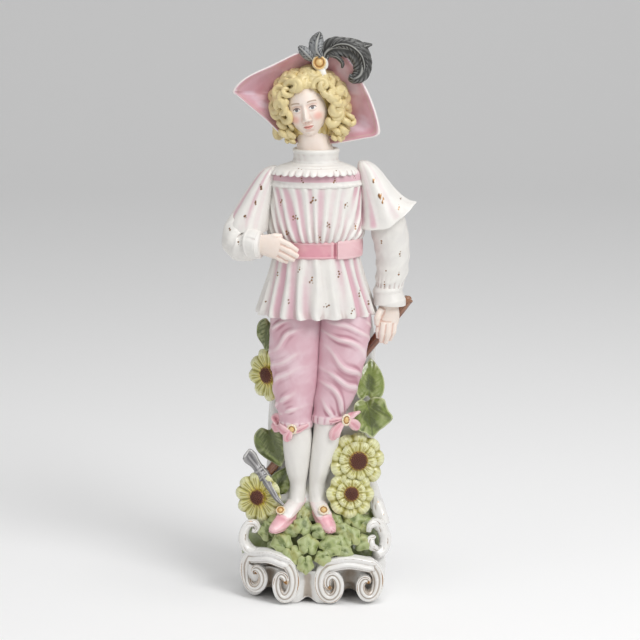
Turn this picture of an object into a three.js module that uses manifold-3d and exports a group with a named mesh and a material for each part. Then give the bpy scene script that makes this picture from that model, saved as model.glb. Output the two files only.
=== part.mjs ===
// A gardener figure in bisque porcelain on a scroll base, as an assembly of its modelled pieces.
// Millimetres, +Z up, front towards -Y, origin at the middle of the footprint on the table.
import * as THREE from 'three';
import { mergeVertices } from 'three/addons/utils/BufferGeometryUtils.js';
import Module from 'manifold-3d';

const wasm = await Module();
wasm.setup();

// Heights above the table.
const SCROLL_TOP = 29;
const GROUND_TOP = 52;
const KNEE = 97.5;
const HEM = 163;
const BELT_LOW = 196.8;
const BELT_HIGH = 205.6;
const YOKE_LOW = 236;
const COLLAR_LOW = 247.8;
const COLLAR_HIGH = 255.6;
const HEAD_MIDDLE = 280;
const HAT_MIDDLE = 285;

// Widths and clearances.
const BASE_WIDTH = 84;
const BASE_DEPTH = 61;
const BODY_X = -2.2; // the figure stands a little left of the middle of its base
const GAP = 0.4; // left between pieces that touch
const WIDE_GAP = 0.9; // the same round the big pieces that many others sink into
const JOIN = 1e-3; // vertices closer than this are one
const SHARPEST = 0.5; // cosine past which a corner is grown no further
const FLATNESS = 0.12; // how far a facet may lie off the shape that was cut
const ROUGH_FLATNESS = 0.25; // the same for the big pieces

// Colours and finishes, one for each kind of surface.
const FINISH = {
  white_bisque: { color: 0xf0eee8, roughness: 0.55 },
  pink_bisque: { color: 0xd9a8b4, roughness: 0.55 },
  skin_bisque: { color: 0xf3e2d6, roughness: 0.5 },
  blond_hair: { color: 0xe2cf8c, roughness: 0.55 },
  black_plume: { color: 0x35332f, roughness: 0.4 },
  gilding: { color: 0xc79a45, roughness: 0.3, metalness: 0.9 },
  leaf_green: { color: 0x6b7a34, roughness: 0.5 },
  ivy_green: { color: 0x9aa878, roughness: 0.6 },
  petal_yellow: { color: 0xe4dc8c, roughness: 0.5 },
  seed_brown: { color: 0x5a2c14, roughness: 0.6 },
  handle_brown: { color: 0x5f2418, roughness: 0.35 },
  steel_grey: { color: 0x8d8b86, roughness: 0.35 },
};

// ---- solids ----

// A closed geometry as a solid: only positions, shared vertices joined, flat slivers dropped.
function solidOf(geometry) {
  const bare = geometry.index ? geometry.toNonIndexed() : geometry.clone();
  bare.deleteAttribute('normal');
  bare.deleteAttribute('uv');
  const merged = mergeVertices(bare, JOIN);
  const index = merged.index.array;
  const faces = [];
  for (let i = 0; i < index.length; i += 3) {
    const [a, b, c] = [index[i], index[i + 1], index[i + 2]];
    if (a !== b && b !== c && c !== a) faces.push(a, b, c);
  }
  const vertProperties = merged.attributes.position.array;
  const triVerts = new Uint32Array(faces);
  return new wasm.Manifold(new wasm.Mesh({ numProp: 3, vertProperties, triVerts }));
}

function geometryOf(solid) {
  const mesh = solid.getMesh();
  const geometry = new THREE.BufferGeometry();
  geometry.setAttribute('position', new THREE.BufferAttribute(mesh.vertProperties, 3));
  geometry.setIndex(new THREE.BufferAttribute(mesh.triVerts, 1));
  return geometry;
}

// The same solid with every vertex moved out until it clears each face that meets there by the distance,
// or by half of it at a very sharp corner.
function grown(solid, distance) {
  const { vertProperties, triVerts } = solid.getMesh();
  const corner = (k) => new THREE.Vector3().fromArray(vertProperties, 3 * k);
  const faceNormals = Array.from({ length: vertProperties.length / 3 }, () => []);
  for (let i = 0; i < triVerts.length; i += 3) {
    const [a, b, c] = triVerts.subarray(i, i + 3);
    const normal = new THREE.Triangle(corner(a), corner(b), corner(c)).getNormal(new THREE.Vector3());
    for (const k of [a, b, c]) faceNormals[k].push(normal);
  }
  const out = faceNormals.flatMap((normals, k) => {
    const way = normals.reduce((sum, normal) => sum.add(normal), new THREE.Vector3()).normalize();
    const least = Math.min(...normals.map((normal) => normal.dot(way)));
    return corner(k).addScaledVector(way, distance / Math.max(least, SHARPEST)).toArray();
  });
  const moreVertices = new Float32Array(out);
  return new wasm.Manifold(new wasm.Mesh({ numProp: 3, vertProperties: moreVertices, triVerts }));
}

function largestBody(solid) {
  const bodies = solid.decompose();
  return bodies.reduce((best, body) => (body.volume() > best.volume() ? body : best));
}

// ---- shapes ----

// Moves every vertex of a geometry to where place(x, y, z) says.
function moved(geometry, place) {
  const position = geometry.attributes.position;
  for (let i = 0; i < position.count; i += 1) {
    position.setXYZ(i, ...place(position.getX(i), position.getY(i), position.getZ(i)));
  }
  return geometry;
}

// Ovals stacked from bottom to top, [x, y, z, half width, half depth], joined by one smooth skin.
function stack(ovals, around, rows) {
  const middle = new THREE.CatmullRomCurve3(ovals.map(([x, y, z]) => new THREE.Vector3(x, y, z)));
  const reach = new THREE.CatmullRomCurve3(ovals.map((oval) => new THREE.Vector3(oval[3], oval[4], 0)));
  return moved(new THREE.CylinderGeometry(1, 1, 1, around, rows), (x, y, z) => {
    const at = middle.getPoint(y + 0.5);
    const half = reach.getPoint(y + 0.5);
    return [at.x + half.x * x, at.y - half.y * z, at.z];
  });
}

// A rounded bar along a path of [x, y, z, half width, half thickness]; its width lies along wide.
function bar(path, around, rows, wide = [0, 1, 0]) {
  const line = new THREE.CatmullRomCurve3(path.map(([x, y, z]) => new THREE.Vector3(x, y, z)));
  const reach = new THREE.CatmullRomCurve3(
    path.map((point) => new THREE.Vector3(point[3], point[4] ?? point[3], 0)),
  );
  return moved(new THREE.CylinderGeometry(1, 1, 1, around, rows), (x, y, z) => {
    const along = 0.5 - y;
    const at = line.getPoint(along);
    const forward = line.getTangent(along);
    const half = reach.getPoint(along);
    const side = new THREE.Vector3(...wide);
    side.addScaledVector(forward, -side.dot(forward)).normalize();
    const over = new THREE.Vector3().crossVectors(forward, side);
    at.addScaledVector(side, x * half.x).addScaledVector(over, z * half.y);
    return [at.x, at.y, at.z];
  });
}

// Turns a shape made in the XY plane so that its +Z looks along facing and its +Y leans to up.
function placed(geometry, at, facing, up = [0, 0, 1]) {
  const out = new THREE.Vector3(...facing).normalize();
  const top = new THREE.Vector3(...up);
  top.addScaledVector(out, -top.dot(out)).normalize();
  const side = new THREE.Vector3().crossVectors(top, out);
  const turn = new THREE.Matrix4().makeBasis(side, top, out).setPosition(...at);
  return geometry.applyMatrix4(turn);
}

// A turned disc with its axis along +Z, from a profile of [radius, height] that starts and ends on the axis.
function turned(profile, around) {
  const points = profile.map(([radius, height]) => new THREE.Vector2(radius, height));
  return new THREE.LatheGeometry(points, around).rotateX(Math.PI / 2);
}

// A flat plate with the outline of points [x, y], smoothed, and its back on z = 0.
function plate(points, thickness, steps) {
  const outline = new THREE.Shape();
  const curve = new THREE.SplineCurve([...points, points[0]].map(([x, y]) => new THREE.Vector2(x, y)));
  outline.setFromPoints(curve.getPoints(steps).slice(0, -1));
  return new THREE.ExtrudeGeometry(outline, { depth: thickness, bevelEnabled: false, steps: 1 });
}

// ---- the assembly ----

const figure = new THREE.Group();
const neighbours = [];

// Places a piece: it is cut back to leave a gap to each piece that is already there. A rough piece
// keeps a wider gap, so that its cut faces can be plainer.
function add(name, finish, geometry, rough = false) {
  const whole = geometry instanceof wasm.Manifold ? geometry : solidOf(geometry);
  let solid = whole;
  for (const neighbour of neighbours) {
    const room = rough ? neighbour.wide : neighbour.close;
    if (solid.intersect(room).volume() > 0) solid = solid.subtract(room);
  }
  solid = largestBody(solid.simplify(rough ? ROUGH_FLATNESS : FLATNESS));
  neighbours.push({ close: grown(whole, GAP), wide: grown(whole, WIDE_GAP) });
  const material = new THREE.MeshStandardMaterial(FINISH[finish]);
  const mesh = new THREE.Mesh(geometryOf(solid), material);
  mesh.name = name;
  figure.add(mesh);
}

const SIDES = { left: -1, right: 1 };

// -- mattock, held upright behind the legs --

const HANDLE_TOP = [49.4, 2.5, 169.4];
const HANDLE_END = [-28.5, 8, 69.5];
const HANDLE_RADIUS = 2.7;
add('mattock_handle', 'handle_brown', bar(
  [[...HANDLE_TOP, HANDLE_RADIUS], [...HANDLE_END, HANDLE_RADIUS]], 10, 1,
));
add('mattock_head', 'steel_grey', bar([
  [-43.4, 1.5, 83.5, 1.2, 3.6],
  [-40.5, 2.5, 79.5, 1.6, 4.6],
  [-37, 3.5, 74.5, 2.6, 2.8],
  [-32.8, 4.5, 68, 4.2, 3.6],
  [-28, 3.5, 60, 2.6, 2.2],
  [-24.5, 2, 54.5, 1.8, 1.6],
  [-20.5, 0, 51.2, 0.8, 0.8],
], 8, 10));

// -- hands and cuffs --

add('hand_right', 'skin_bisque', bar([
  [38.6, -1.6, 168.5, 4.6, 6.2],
  [38.8, -2.2, 163, 5, 6.6],
  [38, -3, 157, 5.2, 6.4],
  [36.6, -4, 151, 4.6, 4.6],
  [35.4, -4.4, 147.4, 3, 3],
  [35.2, -4.4, 146.2, 1, 1],
], 10, 7));
add('hand_left', 'skin_bisque', bar([
  [-35.6, -18.4, 204.6, 5.6, 3.6],
  [-31, -19, 204.4, 6.4, 3.4],
  [-25.5, -19.4, 203.6, 6.6, 3.2],
  [-20, -19.8, 201.2, 5.8, 2.8],
  [-15.6, -20.6, 198.4, 3.6, 2.2],
  [-13.2, -20.8, 196.6, 1.2, 1],
], 10, 7, [0.3, 0, 1]));
add('cuff_right', 'white_bisque', stack([
  [39.2, -1, 168.8, 9.4, 9],
  [38.6, -0.8, 172.5, 8.4, 8.2],
  [38, -0.5, 177, 8, 8],
], 16, 2));
add('cuff_left', 'white_bisque', bar([
  [-37.8, -17.2, 204.6, 7.4, 7.2],
  [-34, -18.8, 204.6, 7.6, 7.4],
], 16, 1, [0, 0, 1]));

// -- button and plume of the hat --

add('hat_button', 'gilding', placed(
  turned([[0, 0], [4.4, 0], [4.4, 1.6], [3.2, 2.4], [1.6, 3.2], [0, 3.4]], 16),
  [-0.4, -3.6, 304.6], [0, -1, 0.15],
));
add('plume_curl', 'black_plume', bar([
  [2.4, -2.6, 307.6, 2.4, 1.6],
  [7.4, -2.8, 313, 3.2, 4],
  [14, -2.6, 313.2, 3.4, 4.6],
  [21, -2.6, 310.6, 3.6, 4.8],
  [24, -3, 304.6, 3.6, 4.4],
  [23, -3.6, 298.6, 3.6, 4.2],
  [18.8, -4, 295.4, 3.2, 3],
  [15.6, -4, 295.6, 1.6, 1.6],
], 8, 13));
add('plume_tuft', 'black_plume', bar([
  [1.2, -2.4, 308.4, 2, 2.4],
  [-2, -1, 312.2, 2.8, 4.6],
  [-2.4, 0.4, 316.4, 2.4, 3.6],
  [-0.6, 1.6, 320, 0.8, 0.8],
], 8, 5));
add('plume_side', 'black_plume', bar([
  [-4.2, -2.6, 306.4, 1.8, 2],
  [-7.4, -1.8, 309, 2.4, 3.2],
  [-11.4, -0.6, 312.2, 1.2, 1.2],
], 8, 4));

// -- shoes, stockings and breeches --

const SHOES = {
  left: [
    [-10.2, 3.4, 54, 2.4, 2.4], [-11.4, 0, 52.6, 4.4, 4], [-15.2, -6.6, 49.2, 4.6, 4],
    [-20, -13.2, 45.6, 5, 3.4], [-24.4, -18.6, 42.8, 4, 2.6], [-26.6, -21.6, 41.6, 1.4, 1.2],
  ],
  right: [
    [-2.2, 3.4, 54, 2.4, 2.4], [-2, 0, 52.6, 4.4, 4], [-0.4, -6.6, 49.2, 4.6, 4],
    [2.4, -13.2, 45.6, 5, 3.4], [5, -18.8, 42.8, 4, 2.6], [6.4, -21.8, 41.6, 1.4, 1.2],
  ],
};
const ROSETTES = { left: [-21.8, -12.6, 49.6], right: [1.6, -12.8, 49.8] };
for (const side of Object.keys(SIDES)) {
  add(`shoe_rosette_${side}`, 'gilding', placed(
    turned([[0, 0], [2.4, 0], [2.4, 1], [1.2, 2], [0, 2.1]], 12),
    ROSETTES[side], [0.1 * SIDES[side], -0.75, 0.65],
  ));
}
for (const side of Object.keys(SIDES)) {
  add(`shoe_${side}`, 'pink_bisque', bar(SHOES[side], 10, 7, [1, 0, 0]));
}

const KNEE_BOWS = {
  left: [[-22.4, -8.4, 97.6, 2, 2.4], [-19, -12, 96.4, 2.4, 4.4], [-15.6, -13, 93.8, 1.4, 2.6]],
  right: [[6.6, -14.4, 95.6, 1.4, 3.6], [11, -12.6, 100.4, 2.2, 3.6], [18.4, -8.6, 101, 2.2, 4.4]],
};
const KNEE_BUTTONS = { left: [-15.8, -13, 98.2], right: [14.8, -12.4, 103.6] };
for (const side of Object.keys(SIDES)) {
  add(`knee_button_${side}`, 'gilding', placed(
    turned([[0, 0], [2.6, 0], [2.6, 1.2], [1.2, 2], [0, 2.1]], 12),
    KNEE_BUTTONS[side], [0.3 * SIDES[side], -1, 0],
  ));
}
for (const side of Object.keys(SIDES)) {
  add(`knee_bow_${side}`, 'pink_bisque', bar(KNEE_BOWS[side], 8, 4));
}

// -- belt, collar and head --

add('belt_loop', 'pink_bisque', bar([
  [9.8, -17.6, 206.6, 1.6, 3], [10.2, -17.8, 202, 1.8, 3], [10.6, -17.6, 196.6, 1.6, 3],
], 8, 3));
add('belt', 'pink_bisque', stack([
  [BODY_X, -1, BELT_LOW, 24.6, 17.4],
  [BODY_X, -1, BELT_HIGH, 24.8, 17.6],
], 32, 1));
add('collar', 'white_bisque', stack([
  [BODY_X, -1.4, COLLAR_LOW, 13.8, 12],
  [BODY_X, -1.4, 251, 12.8, 11.2],
  [BODY_X, -1.6, COLLAR_HIGH, 13.2, 11.4],
], 20, 2));
add('ruffle', 'white_bisque', stack([
  [BODY_X - 1.5, -3.4, 240.4, 20.6, 16],
  [BODY_X - 1, -2.6, 244.6, 19.4, 15],
  [BODY_X, -1.4, COLLAR_LOW - GAP, 14, 12],
], 24, 2));

const HEAD_TILT = 0.2; // towards -X, in radians
const skull = moved(new THREE.SphereGeometry(1, 16, 10).rotateX(Math.PI / 2), (x, y, z) => [
  -7.2 + 12.2 * x - 17.4 * z * Math.sin(HEAD_TILT),
  -3.6 + 14.4 * y,
  HEAD_MIDDLE + 17.4 * z * Math.cos(HEAD_TILT) + 12.2 * x * Math.sin(HEAD_TILT),
]);
const neck = stack([[-2.4, -2, COLLAR_HIGH + GAP, 10.6, 9.6], [-3.4, -1, 262, 9.4, 9], [-5, 0, 272, 9, 9]], 14, 3);
add('head', 'skin_bisque', solidOf(skull).add(solidOf(neck)));

// -- arms --

add('forearm_left', 'white_bisque', bar([
  [-39, -1, 222, 6, 6], [-44.4, -4.6, 213, 8, 7.6], [-46, -9, 205.4, 8.6, 8.8],
  [-41.8, -14, 202.8, 8.2, 8.4], [-37, -16.6, 204, 6.8, 6.8],
], 12, 7, [0.7, 0, -0.7]));
add('forearm_right', 'white_bisque', bar([
  [34, 0, 226, 8, 9], [38.4, 0, 213, 9.6, 10.2], [40.4, 0, 203, 9.4, 9.8],
  [40.8, 0, 190, 8.8, 8.8], [39.2, -0.4, 181, 7.8, 7.8], [38.6, -0.6, 177, 7.2, 7],
], 12, 7));
add('cape_sleeve_left', 'white_bisque', stack([
  [-40.4, -3, 211.4, 11.4, 13], [-39.8, -2.6, 215, 12, 13], [-37, -1.6, 224, 10.2, 11.6],
  [-33, -0.4, 234, 7.4, 10], [-29.6, 0.4, 241, 5.8, 8.4], [-26.6, 0.6, 245.6, 2.4, 4],
], 16, 5));
const cape = stack([
  [33.4, -3, 212, 9.4, 11], [37.6, -2.4, 219, 11.6, 12], [40, -1.6, 226, 13, 12],
  [38, -0.6, 233, 12.4, 11], [31.4, 0.4, 241, 9, 9.4], [28, 0.8, 246, 6.4, 8], [26.4, 1, 249.6, 3, 4],
], 16, 6);
const capeTip = bar([[44, -1, 228, 8, 6], [50, -0.6, 227.6, 6.4, 4], [54.6, 0, 229.4, 2, 1.2]], 10, 4);
add('cape_sleeve_right', 'white_bisque', solidOf(cape).add(solidOf(capeTip)));

// -- smock --

add('bodice', 'white_bisque', stack([
  [BODY_X, -1, BELT_HIGH + GAP, 24, 17], [BODY_X, -1, 210, 26, 18.4], [BODY_X, -1, 217, 26.4, 18.2],
  [BODY_X, -0.6, 228, 26, 17.2], [BODY_X, -0.4, YOKE_LOW - GAP, 25.8, 16.6],
], 24, 4));
add('yoke', 'white_bisque', stack([
  [BODY_X, -0.4, YOKE_LOW, 25.8, 16.8], [BODY_X, -0.4, 241.5, 25.6, 16], [BODY_X, -0.6, 245.4, 23, 13.6],
  [BODY_X, -1, COLLAR_LOW - GAP, 15.4, 12.2],
], 24, 3));
add('smock_skirt', 'white_bisque', stack([
  [BODY_X, 0, HEM, 32.8, 22.6], [BODY_X, 0, 168, 32, 22.2], [BODY_X, -0.4, 180, 28.4, 20],
  [BODY_X, -1, 192, 25, 17.6], [BODY_X, -1, BELT_LOW - GAP, 23.6, 16.6],
], 28, 4));

const BREECHES = {
  left: [
    [-13.4, -3.6, KNEE, 8.8, 9], [-14, -4, 102, 9.4, 9.6], [-14.2, -4.4, 112, 11.2, 10.6],
    [-13.8, -4.6, 126, 13.2, 11], [-14.4, -4, 142, 14.6, 12.4], [-13.6, -3, 155, 14.8, 13.4],
    [-13.4, -2.4, HEM - GAP, 15, 13.6],
  ],
  right: [
    [4, -3.6, KNEE + 3, 8.2, 9], [5, -4, 105, 9.2, 9.6], [8, -4.4, 115, 11.8, 10.6],
    [11, -4.6, 130, 13.2, 11], [12.8, -4, 144, 14.4, 12.4], [14, -3, 155, 15, 13.4],
    [14.2, -2.4, HEM - GAP, 15.2, 13.6],
  ],
};
const STOCKINGS = {
  left: [
    [-14.6, -6, 51.8, 4.6, 5.8], [-13, -2.4, 57, 4.6, 5.4], [-12.6, -2, 64, 4.6, 5.2],
    [-13, -2.4, 72, 6.4, 7], [-13, -3, 84, 7.8, 8], [-12.8, -3.4, 93, 8.2, 8.4],
    [-13.2, -3.6, KNEE - GAP, 8.2, 8.4],
  ],
  right: [
    [-0.4, -6, 51.8, 4.6, 5.8], [-1.6, -2.4, 57, 4.6, 5.4], [-1.6, -2, 64, 4.6, 5.2],
    [-0.2, -2.4, 72, 6, 7], [2.4, -3, 84, 7.4, 8], [4, -3.4, 95, 7.6, 8.4],
    [4.2, -3.6, KNEE + 3 - GAP, 7.6, 8.4],
  ],
};
for (const side of Object.keys(SIDES)) {
  add(`breeches_${side}`, 'pink_bisque', stack(BREECHES[side], 16, 7));
}
for (const side of Object.keys(SIDES)) {
  add(`stocking_${side}`, 'white_bisque', stack(STOCKINGS[side], 12, 7));
}

// -- hair and hat --

const faceWindow = moved(new THREE.SphereGeometry(1, 12, 8), (x, y, z) => [
  -6.6 + 11.6 * x, -20 + 15 * y, 274.6 + 15.4 * z,
]);
const curls = [
  new THREE.SphereGeometry(1, 18, 12).scale(18.6, 16.4, 18).translate(-5.6, -1, 281.6),
  new THREE.SphereGeometry(1, 10, 6).scale(7, 8, 9.4).translate(-17, -3, 266.4),
  new THREE.SphereGeometry(1, 10, 6).scale(7.4, 8, 10).translate(11.6, -2, 266.6),
];
const hairMass = curls.map(solidOf).reduce((mass, curl) => mass.add(curl));
add('hair', 'blond_hair', hairMass.subtract(solidOf(faceWindow)), true);

// The hat is a dish with a rolled rim, and its crown stands out behind. Each ring of its skin is the
// outline drawn in towards the middle by a share, and set back by a depth.
const HAT_OUTLINE = [
  [-48.4, 289], [-41, 296.4], [-26, 303.6], [-11, 310.6], [3, 313.4], [15, 308], [24.4, 293],
  [29.4, 282], [33, 270], [32.6, 264], [24, 261.8], [8, 259], [-8, 258], [-20, 263], [-31, 273], [-45, 285],
];
const HAT_RINGS = [
  [0, 6], [0.5, 4.4], [0.72, 1.4], [0.9, -2.4], [0.96, -3.4], [1, -2],
  [0.98, 0.4], [0.78, 5], [0.62, 9], [0.56, 15], [0.42, 21.4], [0.2, 24], [0, 24.4],
];
const hatEdge = new THREE.CatmullRomCurve3(
  HAT_OUTLINE.map(([x, z]) => new THREE.Vector3(x, 0, z)), true,
);
const hatSkin = new THREE.LatheGeometry(HAT_RINGS.map(([share, depth]) => new THREE.Vector2(share, depth)), 28);
const HAT_X = -7;
add('hat', 'pink_bisque', moved(hatSkin, (x, y, z) => {
  const share = Math.hypot(x, z);
  const turn = Math.atan2(z, -x) / (2 * Math.PI);
  const edge = hatEdge.getPoint(turn < 0 ? turn + 1 : turn);
  return [HAT_X + share * (edge.x - HAT_X), y, HAT_MIDDLE + share * (edge.z - HAT_MIDDLE)];
}), true);

// -- sunflowers: a seed disc and a scalloped dish of petals --

const FLOWERS = {
  upper_right: { at: [21.4, -5.4, 78], facing: [0.25, -1, 0.12], radius: 16.4, disc: 6.6 },
  lower_right: { at: [17.6, -9.6, 59.4], facing: [0.15, -1, 0.3], radius: 13.6, disc: 5 },
  lower_left: { at: [-35.6, -4, 56], facing: [-0.45, -1, 0.12], radius: 14.6, disc: 5 },
  upper_left: { at: [-30, 3, 126], facing: [-0.9, -1, 0], radius: 15.2, disc: 5.2 },
};
const PETALS = 9;
for (const [place, flower] of Object.entries(FLOWERS)) {
  const { disc } = flower;
  add(`seed_disc_${place}`, 'seed_brown', placed(
    turned([[0, -1], [disc, -1], [disc, 0.6], [0, 2]], 12), flower.at, flower.facing,
  ));
}
for (const [place, flower] of Object.entries(FLOWERS)) {
  const profile = [[0, -4], [0.6, -3.4], [1, -1.2], [0.96, 0.2], [0.6, -0.4], [0, -1]];
  const dish = turned(profile, 3 * PETALS);
  add(`sunflower_${place}`, 'petal_yellow', placed(moved(dish, (x, y, z) => {
    const lobe = 0.94 + 0.06 * Math.cos(PETALS * Math.atan2(y, x));
    return [x * flower.radius * lobe, y * flower.radius * lobe, z];
  }), flower.at, flower.facing));
}

// -- leaves --

const LEAF = [[0, -1], [0.62, -0.62], [0.9, 0], [0.6, 0.55], [0, 1.1], [-0.6, 0.55], [-0.9, 0], [-0.62, -0.62]];
const LEAF_THICKNESS = 2.2;
const LEAVES = {
  upper_left: { at: [-29.6, 4, 150], facing: [-0.5, -1, 0.1], up: [0, 0, 1], length: 10, width: 6.4 },
  middle_left: { at: [-26.6, 3, 86], facing: [-0.3, -1, 0.1], up: [-0.4, 0, 1], length: 12, width: 9 },
  lower_left: { at: [-22, 0.6, 66], facing: [-0.2, -1, 0.2], up: [0.3, 0, 1], length: 10, width: 6 },
  upper_right: { at: [28.4, 2, 122], facing: [0.5, -1, 0.1], up: [0.2, 0, 1], length: 11, width: 8 },
  middle_right: { at: [28, -0.6, 104.6], facing: [0.3, -1, 0.2], up: [-0.2, 0, 1], length: 11, width: 11 },
};
for (const [place, leaf] of Object.entries(LEAVES)) {
  const outline = LEAF.map(([x, y]) => [x * leaf.width, y * leaf.length]);
  add(`leaf_${place}`, 'leaf_green', placed(plate(outline, LEAF_THICKNESS, 16), leaf.at, leaf.facing, leaf.up));
}

// -- ivy on the ground, lying along the slope --

const IVY = [[0, -1], [0.8, -0.5], [1, 0.3], [0.45, 0.6], [0, 1], [-0.5, 0.65], [-1, 0.2], [-0.75, -0.55]];
const IVY_THICKNESS = 3.2;
const IVY_SIZE = 6;
const IVY_PLACES = [
  { at: [-21.6, -22.4, 34.6], up: [-0.6, 0.4, 1] },
  { at: [-6, -25.4, 34.6], up: [0.1, 0.4, 1] },
  { at: [6, -26, 33.4], up: [0.8, 0.4, 1] },
  { at: [17.6, -20, 39], up: [-0.3, 0.4, 1] },
  { at: [-9, -17, 43.6], up: [0.4, 0.4, 1] },
];
IVY_PLACES.forEach(({ at, up }, i) => {
  const outline = IVY.map(([x, y]) => [x * IVY_SIZE, y * IVY_SIZE]);
  add(`ivy_leaf_${i + 1}`, 'ivy_green', placed(plate(outline, IVY_THICKNESS, 16), at, [0, -0.85, 0.55], up));
});

// -- base: scrolls in front and at the sides, a hollow plinth, and the rock behind the legs --

// How far back the front of the base lies at x: it is straight in the middle and falls away at both ends.
function baseFront(x) {
  const outward = x < -20 ? (-20 - x) / 26 : Math.max(0, x - 24) / 30;
  return -32 + 22 * outward ** 1.5;
}
const FRONT_SCROLLS = {
  left: [
    [-46.4, 11], [-46, 20], [-41, 27], [-32, SCROLL_TOP], [-22, 28], [-13, 22], [-9.6, 13], [-11.4, 4.6],
    [-17, 0.6], [-22, 0.6], [-26, 6], [-29, 8.6], [-31.6, 4.6], [-36, 0.6], [-42, 2.4],
  ],
  right: [
    [-4.6, 11], [-3, 19], [3, 24.6], [13, 26.4], [24, 25.6], [33, 23], [37.6, 15], [37, 7],
    [33, 1.4], [28, 0.2], [23.4, 1.6], [18, 5.6], [12.4, 4.4], [8.6, 1], [3, 0.4], [-2, 4],
  ],
};
const SCROLL_DEPTH = 9;
for (const side of Object.keys(SIDES)) {
  const outline = plate(FRONT_SCROLLS[side], SCROLL_DEPTH, 28);
  add(`front_scroll_${side}`, 'white_bisque', moved(outline, (x, y, z) => [x, baseFront(x) + SCROLL_DEPTH - z, y]));
}
add('side_scroll_left', 'white_bisque', bar([
  [-37.6, -10, 38, 3, 2.6], [-38.6, -10, 42.4, 3.6, 2.4], [-41.8, -10, 41, 4, 2.6],
  [-42.6, -11, 34, 4.6, 3], [-39.6, -13, 28.4, 5, 3],
], 8, 8));
add('side_scroll_right', 'white_bisque', bar([
  [29, -18, 36.4, 3, 2.6], [29.6, -14, 42, 4, 3], [34, -9, 40.4, 4.6, 3],
  [36, -10, 33, 5, 3.4], [33.4, -15, 26.6, 5, 3.4],
], 8, 8));
add('rock', 'white_bisque', stack([
  [1, 6, 46, 35, 18], [1, 10, 56, 33, 15], [1, 13, 72, 30.6, 11.4], [1.4, 14, 96, 31, 10.4],
  [1.6, 14.6, 126, 30.4, 9.8], [1.4, 14.4, 148, 31, 9.6], [1.4, 13, HEM - GAP, 27, 8],
], 16, 6), true);

// The plinth is a turned shell, open underneath, stretched to an oval, with its top sloping up to the back.
const PLINTH_PROFILE = [
  [0, 16], [0.5, 16], [0.68, 12], [0.72, 0], [0.92, 0], [0.98, 8], [1, 18], [0.96, 27], [0.84, 33], [0.5, 39], [0, 41],
];
const SLOPE = 0.62; // rise of the ground for each millimetre towards the back
const plinth = moved(
  new THREE.LatheGeometry(PLINTH_PROFILE.map(([share, height]) => new THREE.Vector2(share, height)), 24),
  (x, y, z) => {
    const back = (-z * BASE_DEPTH) / 2;
    const rise = y > 20 ? SLOPE * Math.min(back + 2, 16) * Math.min(1, (y - 20) / 8) : 0;
    return [(x * BASE_WIDTH) / 2 - 4, back, Math.min(y + rise, GROUND_TOP)];
  },
);
add('plinth', 'white_bisque', plinth, true);

// The origin is the middle of the footprint's box, on the table.
const box = new THREE.Box3().setFromObject(figure);
figure.position.set(-(box.min.x + box.max.x) / 2, -(box.min.y + box.max.y) / 2, -box.min.z);

const gardener = new THREE.Group();
gardener.add(figure);

export default gardener;
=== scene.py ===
import math
import bpy
import numpy as np
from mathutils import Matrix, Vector


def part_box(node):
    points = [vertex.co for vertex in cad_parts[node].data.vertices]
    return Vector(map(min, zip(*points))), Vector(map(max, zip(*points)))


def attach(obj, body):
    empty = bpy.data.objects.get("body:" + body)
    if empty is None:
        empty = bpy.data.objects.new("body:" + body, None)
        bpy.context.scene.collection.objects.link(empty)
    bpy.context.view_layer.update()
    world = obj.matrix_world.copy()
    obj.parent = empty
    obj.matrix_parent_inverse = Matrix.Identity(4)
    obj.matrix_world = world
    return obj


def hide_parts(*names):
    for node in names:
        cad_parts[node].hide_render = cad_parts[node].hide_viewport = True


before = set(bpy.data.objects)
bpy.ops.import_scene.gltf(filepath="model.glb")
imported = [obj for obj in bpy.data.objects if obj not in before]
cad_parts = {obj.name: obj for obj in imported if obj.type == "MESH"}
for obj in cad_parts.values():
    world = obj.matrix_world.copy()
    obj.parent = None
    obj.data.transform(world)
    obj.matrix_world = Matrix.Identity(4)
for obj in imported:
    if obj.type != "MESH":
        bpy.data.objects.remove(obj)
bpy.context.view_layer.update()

mm = 0.001
left, right = -1, 1  # the viewer's sides

# The middle of the waist, which every garment hangs from, comes from the belt's box.
beltLow, beltHigh = (np.array(corner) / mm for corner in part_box("belt"))
waistX = (beltLow[0] + beltHigh[0]) / 2
waistY = (beltLow[1] + beltHigh[1]) / 2
middle = np.array([waistX + 2.2, waistY + 1.0, 0.0])  # shift from the drawing's own middle, in mm


def ease(value, low, high):
    # 0 below low, 1 above high, and 3t^2 - 2t^3 between them
    t = np.clip((value - low) / (high - low), 0.0, 1.0)
    return t * t * (3 - 2 * t)


def bump(value, centre, reach):
    # a bell: e to the minus square of the distance from centre, in reaches
    return np.exp(-((value - centre) / reach) ** 2)


def drift(seed, *axes):
    # slow irregular wave between about -1 and 1: a sum of sines with seeded directions and phases
    draw = np.random.default_rng(seed)
    total = 0.0
    for octave in range(4):
        pace = draw.uniform(0.7, 1.6, len(axes)) * 1.7 ** octave
        phase = draw.uniform(0, 2 * np.pi)
        total = total + np.sin(sum(p * a for p, a in zip(pace, axes)) + phase) / 1.6 ** octave
    return total / 2.2


def spline(points, t, closed=False):
    # Catmull-Rom through the points: the cubic that passes each with the slope of its neighbours
    p = np.asarray(points, float)
    t = np.asarray(t, float)
    count = len(p)
    spans = count if closed else count - 1
    place = np.clip(t * spans, 0, spans - 1e-9)
    i = place.astype(int)
    f = (place - i)[..., None]
    if closed:
        a, b, c, d = (p[(i + k) % count] for k in (-1, 0, 1, 2))
    else:
        wide = np.vstack([2 * p[0] - p[1], p, 2 * p[-1] - p[-2]])
        a, b, c, d = (wide[i + k] for k in (0, 1, 2, 3))
    return (0.5 * (2 * b + (c - a) * f + (2 * a - 5 * b + 4 * c - d) * f ** 2
                   + (3 * b - a - 3 * c + d) * f ** 3))


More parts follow.
